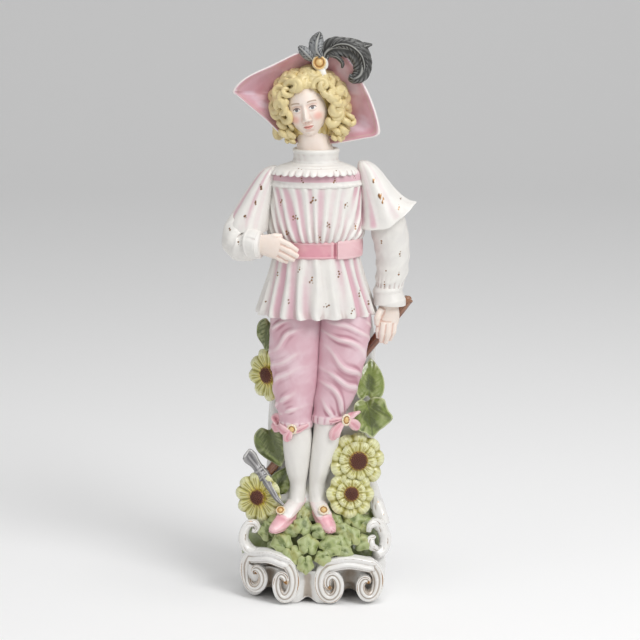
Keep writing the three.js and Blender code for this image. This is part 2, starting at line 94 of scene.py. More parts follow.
def unit(vectors):
    return vectors / np.maximum(np.linalg.norm(vectors, axis=-1, keepdims=True), 1e-12)


def sheetOf(rows, cols):
    # the two parameters of a skin: t from 0 to 1 along it, and the angle round it, 0 in front
    t = np.linspace(0, 1, rows)[:, None] * np.ones((1, cols))
    angle = np.ones((rows, 1)) * np.linspace(-np.pi, np.pi, cols, endpoint=False)[None, :]
    return t, angle


def stackSkin(ovals, t, angle, relief=0.0):
    # ovals (x, y, z, half width, half depth) from bottom to top; a point is the oval's middle plus
    # sin(angle) of the half width in X and minus cos(angle) of the half depth in Y, pushed out by relief
    o = spline(ovals, t)
    x = o[..., 0] + (o[..., 3] + relief) * np.sin(angle)
    y = o[..., 1] - (o[..., 4] + relief) * np.cos(angle)
    return np.stack([x, y, o[..., 2]], -1)


def sweepSkin(path, t, angle, wide=(0, 1, 0), relief=0.0):
    # path points (x, y, z, half width, half thickness); the section is an oval whose width lies along
    # wide, square to the path, and relief pushes its points out
    o = spline(path, t)
    forward = unit(np.gradient(o[..., :3], axis=0))
    side = np.array(wide, float) - (forward @ np.array(wide, float))[..., None] * forward
    side = unit(side)
    over = np.cross(forward, side)
    across = (o[..., 3] + relief) * np.sin(angle)
    through = (o[..., 4] + relief) * np.cos(angle)
    return o[..., :3] + side * across[..., None] + over * through[..., None]


def dishPlaces(outline, rows):
    # a point at share s of the way out has the outline's place times s
    s = np.linspace(0, 1, rows)[:, None] * np.ones((1, len(outline)))
    return s, s * outline[None, :, 0], s * outline[None, :, 1]


def dishSkin(x, y, face, thick):
    # a front at the height face, and a rear that lies thick behind it, from the rim back to the middle
    front = np.stack([x, y, face], -1)
    rear = np.stack([x, y, face - thick], -1)
    return np.concatenate([front, rear[::-1]], 0)


def bothSides(values):
    # a dish's values for its front, then the same for its rear
    return np.concatenate([values, values[::-1]])


def turnTo(points, at, facing, up=(0, 0, 1)):
    # +Z of the drawing to facing, and its +Y as near to up as that leaves
    out = unit(np.array(facing, float))
    top = unit(np.array(up, float) - np.dot(up, out) * out)
    side = np.cross(top, out)
    return points @ np.stack([side, top, out]) + np.array(at, float)


def shellOf(grid, closeStart=True, closeEnd=True):
    # vertices and faces of a skin that closes round on itself; each open end gets a middle point
    rows, cols = grid.shape[:2]
    verts = grid.reshape(-1, 3)
    r, c = np.meshgrid(np.arange(rows - 1), np.arange(cols), indexing="ij")
    n = (c + 1) % cols
    quads = np.stack([r * cols + c, r * cols + n, (r + 1) * cols + n, (r + 1) * cols + c], -1).reshape(-1, 4)
    ring = np.arange(cols)
    after = (ring + 1) % cols
    tris = []
    for wanted, base, flip in ((closeStart, 0, True), (closeEnd, (rows - 1) * cols, False)):
        if wanted:
            hub = np.full(cols, len(verts))
            verts = np.vstack([verts, grid[0 if flip else -1].mean(0)])
            pair = (base + after, base + ring) if flip else (base + ring, base + after)
            tris.append(np.stack([hub, *pair], -1))
    return verts, quads, np.vstack(tris) if tris else np.zeros((0, 3), int)


def meshOf(name, shells):
    # one mesh of several closed shells, each turned so that its faces point outwards
    verts, faces, start = [], [], 0
    for shell in shells:
        v, quads, tris = shell
        corners = np.vstack([quads[:, :3], quads[:, [0, 2, 3]], tris])
        a, b, c = (v[corners[:, k]] for k in range(3))
        if np.einsum("ij,ij->i", a, np.cross(b, c)).sum() < 0:
            quads, tris = quads[:, ::-1], tris[:, ::-1]
        faces += (quads + start).tolist() + (tris + start).tolist()
        verts.append((v + middle) * mm)
        start += len(v)
    mesh = bpy.data.meshes.new(name)
    mesh.from_pydata(np.vstack(verts).tolist(), [], faces)
    mesh.polygons.foreach_set("use_smooth", np.ones(len(mesh.polygons), bool))
    mesh.update()
    return mesh


def placesOf(mesh):
    co = np.empty(len(mesh.vertices) * 3)
    mesh.vertices.foreach_get("co", co)
    return co.reshape(-1, 3)


def mark(mesh, name, values):
    # a number for each vertex, which a material reads by name
    layer = mesh.attributes.new(name, "FLOAT", "POINT")
    layer.data.foreach_set("value", np.ascontiguousarray(values, np.float32).ravel())


def markCreases(mesh, reach=0.7):
    # hollow is how far the middle of a vertex's neighbours lies outside it, over the square of their
    # distance: above 0 in a crease and below on a ridge; it is averaged with its neighbours over reach mm
    co = placesOf(mesh) / mm
    normals = np.empty(len(co) * 3)
    mesh.vertex_normals.foreach_get("vector", normals)
    normals = normals.reshape(-1, 3)
    edges = np.empty(len(mesh.edges) * 2, int)
    mesh.edges.foreach_get("vertices", edges)
    a, b = edges.reshape(-1, 2).T
    count = np.maximum(np.bincount(a, minlength=len(co)) + np.bincount(b, minlength=len(co)), 1)
    length = np.linalg.norm(co[a] - co[b], axis=1)

    def around(values):
        return (np.bincount(a, values[b], len(co)) + np.bincount(b, values[a], len(co))) / count

    span = (np.bincount(a, length, len(co)) + np.bincount(b, length, len(co))) / count
    away = np.stack([around(co[:, k]) for k in range(3)], -1) - co
    hollow = 4 * np.einsum("ij,ij->i", away, normals) / np.maximum(span, 0.05) ** 2
    rounds = int(np.clip((reach / max(np.median(span), 0.05)) ** 2 * 2, 2, 40))
    for _ in range(rounds):
        hollow = 0.5 * hollow + 0.5 * around(hollow)
    mark(mesh, "hollow", np.clip(hollow, -2, 2))


def piece(name, shells, finish, nodes=(), marks=None, reach=0.7):
    # a finished piece: its mesh, what the material reads, and where it belongs in the frame
    mesh = shells if isinstance(shells, bpy.types.Mesh) else meshOf(name, shells)
    for label, values in (marks or {}).items():
        mark(mesh, label, values)
    markCreases(mesh, reach)
    obj = bpy.data.objects.new(name, mesh)
    bpy.context.scene.collection.objects.link(obj)
    mesh.materials.append(finish)
    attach(obj, "root")
    if nodes:
        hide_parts(*nodes)


def flat(grid, values, hubs=2):
    # a skin's values as one row for its vertices, with the middle points of its closed ends after them
    v = np.broadcast_to(values, grid.shape[:2]).reshape(-1)
    ends = [np.broadcast_to(values, grid.shape[:2])[k].mean() for k in (0, -1)][:hubs]
    return np.concatenate([v, ends])


def fused(name, shells, voxel, rounds):
    # overlapping shells melted into one skin with a voxel remesh, then relaxed
    mesh = meshOf(name + "Parts", shells)
    obj = bpy.data.objects.new(name + "Parts", mesh)
    bpy.context.scene.collection.objects.link(obj)
    melt = obj.modifiers.new("melt", "REMESH")
    melt.mode = "VOXEL"
    melt.voxel_size = voxel * mm
    soften = obj.modifiers.new("soften", "SMOOTH")
    soften.factor = 0.5
    soften.iterations = rounds
    made = bpy.data.meshes.new_from_object(obj.evaluated_get(bpy.context.evaluated_depsgraph_get()))
    made.name = name
    bpy.data.objects.remove(obj)
    bpy.data.meshes.remove(mesh)
    made.polygons.foreach_set("use_smooth", np.ones(len(made.polygons), bool))
    return made


class Wire:
    # a socket of a shader graph that can be worked with like a number
    def __init__(self, graph, socket):
        self.graph, self.socket = graph, socket

    def maths(self, how, *values):
        return self.graph.node("Math", {"operation": how}, dict(enumerate(values)))

    def __add__(self, other):
        return self.maths("ADD", self, other)

    def __sub__(self, other):
        return self.maths("SUBTRACT", self, other)

    def __rsub__(self, other):
        return self.maths("SUBTRACT", other, self)

    def __mul__(self, other):
        return self.maths("MULTIPLY", self, other)

    __radd__, __rmul__ = __add__, __mul__

    def between(self, low, high, a=0.0, b=1.0):
        # a below low, b above high, smooth between
        values = {"Value": self, "From Min": low, "From Max": high, "To Min": a, "To Max": b}
        return self.graph.node("MapRange", {"interpolation_type": "SMOOTHSTEP"}, values)


class Graph:
    def __init__(self, name):
        self.material = bpy.data.materials.new(name)
        self.material.use_nodes = True
        self.tree = self.material.node_tree
        self.tree.nodes.clear()

    def node(self, kind, settings=None, values=None, out=0):
        # one node by its type, its settings, and a value or a wire for each input
        made = self.tree.nodes.new("ShaderNode" + kind)
        for key, value in (settings or {}).items():
            setattr(made, key, value)
        for key, value in (values or {}).items():
            if isinstance(value, Wire):
                self.tree.links.new(value.socket, made.inputs[key])
            else:
                made.inputs[key].default_value = value
        return Wire(self, made.outputs[out]) if made.outputs else None

    def mark(self, name):
        return self.node("Attribute", {"attribute_name": name}, out="Fac")

    def mix(self, factor, a, b):
        a, b = (c if isinstance(c, Wire) else (*c, 1.0) for c in (a, b))
        return self.node("Mix", {"data_type": "RGBA"}, {0: factor, 6: a, 7: b}, out=2)

    def noise(self, scale, detail=3.0, distort=0.0):
        place = self.node("TexCoord", out="Object")
        values = {"Vector": place, "Scale": scale, "Detail": detail, "Distortion": distort}
        return self.node("TexNoise", None, values)

    def finish(self, shader):
        self.node("OutputMaterial", None, {"Surface": shader})
        return self.material


gold = (0.60, 0.36, 0.10)


def porcelain(name, look):
    # the ground colour clouded by noise, each painted mark over it where its attribute rises from low to
    # high, painted shade where the surface is hollow, with the grime gathered there, a painted highlight on
    # the ridges, where the paint is also thin, then gilding on top
    g = Graph(name)
    hollow = g.mark("hollow")
    cloud = g.noise(look.get("cloudScale", 120.0), 4.0, 0.4).between(0.35, 0.7)
    speck = g.noise(900.0, 2.0)
    colour = g.mix(cloud, look["body"], look.get("cloud", look["body"]))
    for label, (paint, low, high, cover) in look.get("marks", {}).items():
        ragged = g.mark(label) + (g.noise(420.0) - 0.5) * look.get("ragged", 0.12)
        colour = g.mix(ragged.between(low, high, 0.0, cover), colour, paint)
    # painted highlight: the ridges turn towards the ridge colour, which also stands for the thinner paint
    # there
    wearAndHighlight = (0.0 - hollow).between(0.03, look.get("ridgeAt", 0.4), 0.0, look.get("wearAndHighlight", 0.5))
    colour = g.mix(wearAndHighlight, colour, look.get("ridge", (0.86, 0.84, 0.80)))
    # painted shade: the creases turn towards the shade colour, which also stands for the grime gathered
    # there; the grime makes them rougher too
    dirtAndShade = hollow.between(0.02, look.get("dirtAndShadeAt", 0.45), 0.0, look.get("dirtAndShade", 0.5))
    colour = g.mix(dirtAndShade, colour, look["shade"])
    gilt = (g.mark("gilt") + (speck - 0.5) * 0.25).between(0.58, 0.8)
    colour = g.mix(gilt, colour, look.get("giltColour", gold))
    rough = g.noise(260.0).between(0.3, 0.7, look["rough"] - 0.05, look["rough"] + 0.07)
    rough = rough + dirtAndShade * 0.2 - gilt * 0.12
    grain = g.node("Bump", None, {"Strength": look.get("grain", 0.12), "Distance": 0.0003, "Height": speck})
    return g.finish(g.node("BsdfPrincipled", None, {
        "Base Color": colour, "Roughness": rough, "Metallic": gilt * 0.75, "Normal": grain,
        "Coat Weight": look.get("coat", 0.0), "Coat Roughness": 0.12, "IOR": 1.5,
        "Subsurface Weight": look.get("glow", 0.0), "Subsurface Radius": (0.004, 0.003, 0.002),
    }))


chalk = (0.82, 0.80, 0.76)
# In every look, shade is the colour of the painted shade and grime in the creases, and ridge is the colour of
# the painted highlight on the ridges.
smockLook = {
    "body": (0.79, 0.77, 0.73), "cloud": (0.75, 0.73, 0.70), "shade": (0.50, 0.38, 0.36), "dirtAndShade": 0.5,
    "wearAndHighlight": 0.35, "rough": 0.42, "marks": {"paint": ((0.66, 0.38, 0.45), 0.05, 1.1, 0.9)},
    "giltColour": (0.26, 0.13, 0.05), "ragged": 0.25,
}
breechesLook = {
    "body": (0.68, 0.42, 0.48), "cloud": (0.77, 0.57, 0.62), "cloudScale": 70.0,
    "shade": (0.42, 0.17, 0.22), "dirtAndShade": 0.75, "dirtAndShadeAt": 0.3, "wearAndHighlight": 0.6, "ridgeAt": 0.4,
    "ridge": (0.86, 0.74, 0.74), "rough": 0.42,
}
beltLook = {
    "body": (0.72, 0.33, 0.39), "cloud": (0.76, 0.40, 0.44), "shade": (0.38, 0.12, 0.16), "dirtAndShade": 0.7,
    "wearAndHighlight": 0.5, "ridge": (0.85, 0.62, 0.63), "rough": 0.38,
    "marks": {"paint": ((0.80, 0.54, 0.56), 0.3, 0.7, 0.9)},
}
stockingLook = {
    "body": chalk, "cloud": (0.79, 0.77, 0.73), "shade": (0.46, 0.40, 0.36), "dirtAndShade": 0.5, "wearAndHighlight": 0.2,
    "rough": 0.36,
}


def pleats(phase):
    # narrow round ridges over broad valleys: a raised cosine made steeper
    return ((1 + np.cos(phase)) / 2) ** 1.5


smockFinish = porcelain("smockBisque", smockLook)
breechesFinish = porcelain("breechesBisque", breechesLook)
beltFinish = porcelain("roseBisque", beltLook)
stockingFinish = porcelain("stockingBisque", stockingLook)


def sprigs(grid, places, seed, reach=0.62, spread=2.0):
    # closeness to the nearest dot: 1 at a dot and 0 at 2.5 mm; each sprig is a ring of dots round the
    # point of the skin that lies nearest to a place, in the plane across its direction from the axis
    draw = np.random.default_rng(seed)
    flatGrid = grid.reshape(-1, 3)
    best = np.full(len(flatGrid), 9.0)
    for place in places:
        hub = flatGrid[np.argmin(((flatGrid - np.array(place, float)) ** 2).sum(1))]
        out = unit(np.array([hub[0] + 2.0, hub[1], 0.0]))
        side = np.cross((0.0, 0.0, 1.0), out)
        turn = draw.uniform(0, 2 * np.pi)
        for k in range(5):
            a = turn + k * 2 * np.pi / 5
            size = spread * (0.8 if k else 0.0)
            dot = hub + side * np.cos(a) * size + np.array([0, 0, 1.0]) * np.sin(a) * size
            best = np.minimum(best, np.linalg.norm(flatGrid - dot, axis=1) / draw.uniform(0.75, 1.2) / reach)
    return np.append(np.clip(1.0 - best * 0.34, 0, 1), [0, 0])


def ridges(phase, soft=0.06):
    # 1 on a broad round ridge and near 0 in a narrow valley: the root of the squared half-angle cosine
    return np.sqrt(np.cos(phase / 2) ** 2 + soft) / math.sqrt(1 + soft)


# heights are from the standing surface; an oval's numbers are x, y, z, half width and half depth
skirt = {
    "ovals": [
        (-2.2, 0, 172, 25, 17), (-2.2, 0, 166, 29.4, 20), (-2.2, 0, 163.2, 31.4, 21.4),
        (-2.2, 0, 162.9, 32.4, 22.6), (-2.2, 0, 164.4, 32.6, 22.7), (-2.2, 0, 168, 31.6, 22.2),
        (-2.2, -0.4, 176, 29.2, 20.6), (-2.2, -0.6, 184, 26.8, 19), (-2.2, -1, 191, 25, 17.8),
        (-2.2, -1, 196.4, 23.8, 16.8),
    ],
    "grid": (86, 540), "pleats": 19, "depthAtHem": 3.4, "depthAtWaist": 1.3, "wander": 1.5, "seed": 11,
    "sprigs": [
        (-26, -16, 187), (-17, -20, 172), (-6, -22, 185), (4, -23, 170), (12, -20, 188), (22, -14, 176),
        (-30, -8, 171), (27, -6, 169), (-12, -20, 191), (18, -18, 167), (-24, 14, 175), (6, 20, 183),
    ],
}


def skirtRelief(t, angle):
    # ridges fan out from the waist: their depth falls from the hem up, and their phase wanders with height
    phase = angle * skirt["pleats"] + skirt["wander"] * 2 * drift(skirt["seed"], angle * 1.5, t * 2.0)
    depth = skirt["depthAtHem"] + (skirt["depthAtWaist"] - skirt["depthAtHem"]) * ease(t, 0.35, 1.0)
    uneven = 0.8 + 0.35 * drift(12, angle * 4, t)
    return depth * (pleats(phase) - 0.4) * uneven, phase


t, angle = sheetOf(*skirt["grid"])
lift, phase = skirtRelief(t, angle)
grid = stackSkin(skirt["ovals"], t, angle, lift)
skirtPaint = ((1 - pleats(phase)) ** 1.2
              * np.clip(0.62 + 0.8 * drift(5, angle * 2.5, t * 1.2), 0.12, 1.15) * ease(t, 0.2, 0.34))
hemDrop = 0.45 * (ridges(phase, 0.2) - 0.6) * ease(t, 0.12, 0.3) * (1 - ease(t, 0.34, 0.5))
grid[..., 2] -= hemDrop
piece("smockSkirt", [shellOf(grid)], smockFinish, ["smock_skirt"], {
    "paint": flat(grid, skirtPaint), "gilt": sprigs(grid, skirt["sprigs"], 3)})

bodice = {
    "ovals": [
        (-2.2, -1, 205.2, 22.4, 15.6), (-2.2, -1, 205.6, 24.6, 17.4), (-2.2, -1, 207.4, 26.4, 18.8),
        (-2.2, -1, 210.6, 27, 19.2), (-2.2, -1, 215, 26.8, 18.8), (-2.2, -0.8, 222, 26.4, 18),
        (-2.2, -0.6, 230, 26, 17.2), (-2.2, -0.4, 235.4, 25.9, 16.8), (-2.2, -0.4, 236.2, 24.6, 15.8),
    ],
    "grid": (70, 540), "gathers": 21, "depth": 1.5, "squeeze": 0.95, "seed": 21,
    "sprigs": [
        (-22, -12, 228), (-13, -16, 219), (-4, -18, 229), (5, -18, 216), (14, -15, 227), (20, -12, 214),
        (-18, -14, 210), (0, -18, 209), (-8, 16, 220), (12, 15, 226),
    ],
}


def bodiceRelief(t, angle):
    # gathers from the yoke run together at the belt: the phase is squeezed towards the front as t falls
    squeeze = angle + bodice["squeeze"] * np.sin(angle) * (1 - ease(t, 0.1, 1.0))
    phase = squeeze * bodice["gathers"] + 2.4 * drift(bodice["seed"], angle * 3, t * 1.2)
    fade = 0.45 + 0.55 * ease(t, 0.85, 0.3) + 0.4 * bump(t, 0.92, 0.06)
    uneven = 0.8 + 0.4 * drift(22, angle * 5, t * 1.5)
    return bodice["depth"] * (pleats(phase) - 0.4) * fade * uneven * ease(t, 0.02, 0.14), phase


t, angle = sheetOf(*bodice["grid"])
lift, phase = bodiceRelief(t, angle)
grid = stackSkin(bodice["ovals"], t, angle, lift)
gatherPaint = ((1 - pleats(phase)) ** 1.2
               * np.clip(0.66 + 0.8 * drift(6, angle * 3.2, t * 1.2), 0.15, 1.2)
               * (1 - 0.3 * ease(t, 0.8, 1)))
piece("smockBodice", [shellOf(grid)], smockFinish, ["bodice"], {
    "paint": flat(grid, gatherPaint), "gilt": sprigs(grid, bodice["sprigs"], 4)})

yoke = {
    "ovals": [
        (-2.2, -0.4, 235.8, 24.8, 15.8), (-2.2, -0.4, 235.9, 26.3, 17.3), (-2.2, -0.4, 237, 26.7, 17.6),
        (-2.2, -0.4, 238, 26.2, 17.1), (-2.2, -0.4, 239, 25.9, 16.7), (-2.2, -0.4, 241.5, 25.5, 16),
        (-2.2, -0.6, 244, 24.2, 14.8), (-2.2, -0.8, 246.4, 20, 12.8), (-2.2, -1, 248, 14.6, 11.8),
    ],
    "grid": (40, 360), "puckers": 46, "depth": 0.28,
}
t, angle = sheetOf(*yoke["grid"])
pucker = ridges(angle * yoke["puckers"] + drift(8, angle * 3)) - 0.66
lift = yoke["depth"] * pucker * bump(t, 0.2, 0.12) + 0.25 * drift(9, angle * 2, t * 3)
grid = stackSkin(yoke["ovals"], t, angle, lift)
piece("smockYoke", [shellOf(grid)], smockFinish, ["yoke"], {
    "paint": flat(grid, 0.95 * ease(t, 0.49, 0.53) * ease(t, 0.8, 0.7)), "gilt": sprigs(grid, [
        (-20, -8, 241), (18, -8, 241), (8, -14, 240), (-10, -15, 240)], 5, 0.5, 1.6)})

frill = {
    "ovals": [
        (-2.6, -1.6, 248, 12, 10), (-3.2, -2.4, 243.8, 21.8, 14.4), (-3.4, -2.6, 242.9, 23.6, 16.2),
        (-3.4, -2.6, 243.1, 24.4, 17), (-3.2, -2.4, 244.4, 24, 16.5), (-3, -2, 245.9, 22.4, 15.1),
        (-2.6, -1.6, 247.6, 17.8, 13.2), (-2.2, -1.4, 249, 14, 11.9),
    ],
    "grid": (52, 440), "scallops": 33, "depth": 1.7, "seed": 31,
}


def frillRelief(t, angle):
    # scallops open towards the loose edge, which is at t of about 0.4, and close at the neck
    phase = angle * frill["scallops"] + 1.5 * drift(frill["seed"], angle * 3)
    uneven = 0.75 + 0.5 * drift(32, angle * 6)
    return (frill["depth"] * (ridges(phase, 0.1) - 0.6) * uneven * (1 - ease(t, 0.52, 0.82))
            + 0.4 * bump(t, 0.83, 0.03), phase)


t, angle = sheetOf(*frill["grid"])
lift, phase = frillRelief(t, angle)
grid = stackSkin(frill["ovals"], t, angle, lift)
grid[..., 2] += 0.9 * (0.6 - ridges(phase)) * bump(t, 0.4, 0.2)
piece("neckFrill", [shellOf(grid)], smockFinish, ["ruffle"],
      {"paint": flat(grid, 0.9 * ease(t, 0.3, 0.1) + 0.12 * ease(1 - ridges(phase), 0.3, 0.8)),
       "gilt": sprigs(grid, [(-10, -15, 246), (9, -15, 246), (0, -16, 245), (-18, -10, 246)], 9, 0.4,
                      2.4)}, reach=0.5)

collar = {
    "grid": (50, 200),
    "ovals": [
        (-2.2, -1.4, 246.6, 12.6, 11), (-2.2, -1.4, 247.8, 13.8, 12), (-2.2, -1.4, 249.4, 13.2, 11.6),
        (-2.2, -1.4, 251, 12.6, 11.1), (-2.2, -1.5, 253.6, 12.7, 11.1), (-2.3, -1.6, 255.2, 13.2, 11.5),
        (-2.4, -1.6, 256.4, 12.8, 11.1), (-2.5, -1.6, 256.6, 11.6, 10.1), (-2.5, -1.6, 255.8, 10.2, 9.0),
        (-2.5, -1.6, 253, 9.4, 8.4),
    ],
    "puckers": 18, "depth": 0.1,
}
t, angle = sheetOf(*collar["grid"])
grid = stackSkin(collar["ovals"], t, angle,
                 collar["depth"]
                 * (ridges(angle * collar["puckers"] + drift(12, angle * 3, t * 2), 0.2) - 0.7)
                 * (1 - ease(t, 0.55, 0.75)) + 0.2 * drift(13, angle * 2, t * 4))
piece("standCollar", [shellOf(grid)], smockFinish, ["collar"], {
    "paint": flat(grid, 0.5 * bump(t, 0.16, 0.05))})

belt = {
    "grid": (40, 300),
    "ovals": [
        (-2.2, -1, 196.4, 23, 16), (-2.2, -1, 196.5, 24.6, 17.4), (-2.2, -1, 198.6, 25, 17.8),
        (-2.2, -1, 203.6, 25, 17.8), (-2.2, -1, 205.7, 24.6, 17.4), (-2.2, -1, 205.8, 23, 16),
    ],
    "piping": 0.35, "depth": 0.5,
}
t, angle = sheetOf(*belt["grid"])
grid = stackSkin(belt["ovals"], t, angle,
                 belt["piping"] * (bump(t, 0.3, 0.035) + bump(t, 0.7, 0.035))
                 + 0.18 * drift(15, angle * 4, t * 3)
                 - belt["depth"] * bump(angle + 1.15, 0.0, 0.5) * bump(t, 0.5, 0.15)
                 - 1.4 * bump(angle, 0.44, 0.035) * bump(t, 0.5, 0.25)
                 + 0.5 * bump(angle, 0.38, 0.05) * bump(t, 0.5, 0.2))
piece("sash", [shellOf(grid)], beltFinish, ["belt"])

sashLoop = {
    "grid": (160, 60), "from": 0.49, "to": 2.3, "height": 201.2, "stand": 0.5, "half": 5.2, "thick": 1.0,
}
beltX, beltY, _, beltWide, beltDeep = belt["ovals"][2]
turns = np.linspace(sashLoop["from"], sashLoop["to"], 9)
taper = np.where(np.arange(9) == 0, 0.5, 1.0)
path = np.column_stack([beltX + (beltWide + sashLoop["stand"]) * np.sin(turns),
                        beltY - (beltDeep + sashLoop["stand"]) * np.cos(turns),
                        sashLoop["height"] + 0 * turns, sashLoop["half"] * (0.9 + 0.1 * taper),
                        sashLoop["thick"] * taper])
# the free end of the sash laps over itself and runs round the side, its two edges rolled
t, angle = sheetOf(*sashLoop["grid"])
grid = sweepSkin(path, t, angle, (0, 0, 1),
                 0.25 * bump(np.abs(np.sin(angle)), 0.88, 0.1) + 0.12 * drift(17, t * 9, angle * 2))
piece("sashLoop", [shellOf(grid)], beltFinish, ["belt_loop"],
      {"paint": flat(grid, 0.75 - 0.5 * t)})
print("smock and sash")

breeches = {
    "left": [
        (-13.4, -3.6, 99, 7.6, 7.8), (-13.4, -3.6, 97.4, 8.8, 9), (-13.5, -3.7, 98.6, 9.7, 9.9),
        (-13.7, -3.9, 100.6, 9.9, 10), (-13.8, -4, 102.8, 9.5, 9.6), (-14.2, -4.4, 112, 11.2, 10.6),
        (-13.8, -4.6, 126, 13.2, 11), (-14.4, -4, 142, 14.6, 12.4), (-13.6, -3, 155, 14.8, 13.4),
        (-13.4, -2.4, 164, 15, 13.6),
    ],
    "right": [
        (4, -3.6, 102, 7, 7.8), (4, -3.6, 100.4, 8.2, 9), (4.3, -3.8, 101.8, 9.2, 9.8),
        (4.7, -4, 104, 9.6, 10), (5.4, -4, 106.4, 9.6, 9.7), (8, -4.4, 115, 11.8, 10.6),
        (11, -4.6, 130, 13.2, 11), (12.8, -4, 144, 14.4, 12.4), (14, -3, 155, 15, 13.4),
        (14.2, -2.4, 164, 15.2, 13.6),
    ],
    "grid": (170, 150), "spacing": 10.4, "depth": 1.6, "puckers": 15,
}


def breechesFolds(side, ovals, t, angle):
    # ridges where a phase crosses whole turns: the phase is the height less a bend of the angle, over the
    # spacing, so folds sag on the outside and run up to the crotch; outward is 1 on the outer side
    height = spline(ovals, t)[..., 2]
    outward = np.sin(angle) * side
    if side == left:
        bend = 6.0 * np.cos(angle) - 5.0 * outward + 4.2 * drift(43, angle * 0.9, t * 2.4)
        reach = 0.12 + 0.88 * ease(outward, -0.3, 0.7)
    else:
        bend = -7.5 * outward + 4.0 * np.cos(angle) + 4.4 * drift(46, angle * 0.9, t * 2.6)
        reach = 0.3 + 0.7 * ease(outward, -0.7, 0.2)
    reach = (reach * np.clip(0.65 + 1.0 * drift(47, angle * 1.8, t * 5), 0.1, 1.25)
             * (1 - 0.35 * ease(np.abs(outward), 0.85, 1.0)))
    phase = 2 * np.pi * (height - bend + 1.9 * np.sin(height * 0.24 + side)) / breeches["spacing"]
    fold = ((1 + np.cos(phase)) / 2) ** 3
    band = ease(height, 104, 110) * ease(height, 163, 157)
    gather = ridges(angle * breeches["puckers"] + drift(45, angle * 2)) * bump(t, 0.27, 0.16)
    return breeches["depth"] * fold * reach * band * 1.3 + 0.3 * gather + 0.4 * bump(t, 0.4, 0.05) - 0.3


for side, label in ((left, "left"), (right, "right")):
    ovals = breeches[label]
    t, angle = sheetOf(*breeches["grid"])
    grid = stackSkin(ovals, t, angle, breechesFolds(side, ovals, t, angle))
    piece("breechesLeg_" + label, [shellOf(grid)], breechesFinish, ["breeches_" + label],
          reach=0.9)

stockings = {
    "left": [
        (-14.6, -6.4, 50.5, 4.8, 6.2), (-14.4, -5.6, 52.5, 4.8, 6), (-13.2, -2.8, 57, 4.7, 5.5),
        (-12.6, -2, 64, 4.7, 5.3), (-13, -2.4, 72, 6.4, 7), (-13, -3, 84, 7.9, 8),
        (-12.8, -3.4, 92, 8.3, 8.5), (-13.2, -3.6, 99, 8.1, 8.3),
    ],
    "right": [
        (-0.2, -6.4, 50.5, 4.8, 6.2), (-0.5, -5.6, 52.5, 4.8, 6), (-1.5, -2.8, 57, 4.7, 5.5),
        (-1.6, -2, 64, 4.7, 5.3), (-0.2, -2.4, 72, 6, 7), (2.4, -3, 84, 7.5, 8), (4, -3.4, 94, 7.8, 8.5),
        (4.2, -3.6, 102, 7.4, 8.2),
    ],
}
for label, ovals in stockings.items():
    # the shin stands out a little in front, the calf behind, and the ankle bones at the sides
    t, angle = sheetOf(130, 96)
    grid = stackSkin(ovals, t, angle,
                     0.5 * bump(angle, 0, 0.4) * bump(t, 0.55, 0.25)
                     + 0.9 * bump(np.abs(angle), np.pi, 0.9) * bump(t, 0.68, 0.2)
                     + 0.55 * bump(np.abs(angle), 1.7, 0.45) * bump(t, 0.2, 0.05)
                     + 0.16 * drift(51, angle * 2, t * 5)
                     + 0.25 * ridges(t * 170 + angle * 2, 0.3) * bump(t, 0.17, 0.06) * np.cos(angle))
    piece("stockingLeg_" + label, [shellOf(grid)], stockingFinish, ["stocking_" + label])

shoes = {
    "left": [
        (-9.8, 5, 54.4, 1.2, 1.2), (-10.4, 3.2, 53.6, 3.9, 3.6), (-12, -1, 51.8, 4.8, 3.9),
        (-15.2, -6.6, 49, 4.7, 3.7), (-20, -13.2, 45.4, 5.1, 3.3), (-23.8, -18, 43, 4.4, 2.8),
        (-26.0, -20.8, 41.9, 3.3, 2.2), (-27.1, -22.3, 41.4, 2.3, 1.7), (-27.6, -23, 41.3, 1.3, 1.0),
        (-27.75, -23.2, 41.25, 0.3, 0.25),
    ],
    "right": [
        (-2.4, 5, 54.4, 1.2, 1.2), (-2.2, 3.2, 53.6, 3.9, 3.6), (-1.8, -1, 51.8, 4.8, 3.9),
        (-0.4, -6.6, 49, 4.7, 3.7), (2.4, -13.2, 45.4, 5.1, 3.3), (4.8, -18.2, 43, 4.4, 2.8),
        (6.1, -21.0, 41.9, 3.3, 2.2), (6.7, -22.5, 41.4, 2.3, 1.7), (7.0, -23.2, 41.3, 1.3, 1.0),
        (7.05, -23.4, 41.25, 0.3, 0.25),
    ],
    "sole": 0.5, "instepLift": 3.0, "grid": (120, 96),
}
shoeLook = dict(beltLook, body=(0.78, 0.38, 0.43), cloud=(0.80, 0.46, 0.50), rough=0.3, coat=0.3,
                marks={"stocking": (chalk, 0.42, 0.52, 1.0), "sole": ((0.62, 0.24, 0.29), 0.4, 0.6, 0.8)})
shoeFinish = porcelain("shoeBisque", shoeLook)
for label in ("left", "right"):
    t, angle = sheetOf(*shoes["grid"])
    top = np.cos(angle)
    # the top of the section swells where the foot enters, a rand runs round above the sole
    foot = bump(t, 0.34, 0.15) * ease(top, 0.45, 0.9)
    rand = shoes["sole"] * bump(top, -0.55, 0.1) * ease(t, 0.02, 0.1) * ease(t, 0.97, 0.88)
    instep = foot * shoes["instepLift"]
    lip = 0.35 * bump(instep, shoes["instepLift"] * 0.4, 0.28)
    grid = sweepSkin(shoes[label], t, angle, (1, 0, 0), instep + rand + lip)
    piece("shoe_" + label, [shellOf(grid)], shoeFinish, ["shoe_" + label], {
        "stocking": flat(grid, foot), "sole": flat(grid, ease(-top, 0.45, 0.6))}, reach=0.5)

gildLook = {
    "body": (0.62, 0.36, 0.10), "cloud": (0.50, 0.26, 0.07), "shade": (0.30, 0.13, 0.04), "dirtAndShade": 0.6,
    "dirtAndShadeAt": 0.4, "wearAndHighlight": 0.5, "ridge": (0.90, 0.70, 0.36), "rough": 0.28, "coat": 0.2,
    "marks": {"enamel": (chalk, 0.45, 0.55, 1.0)},
}
gildFinish = porcelain("gilding", gildLook)


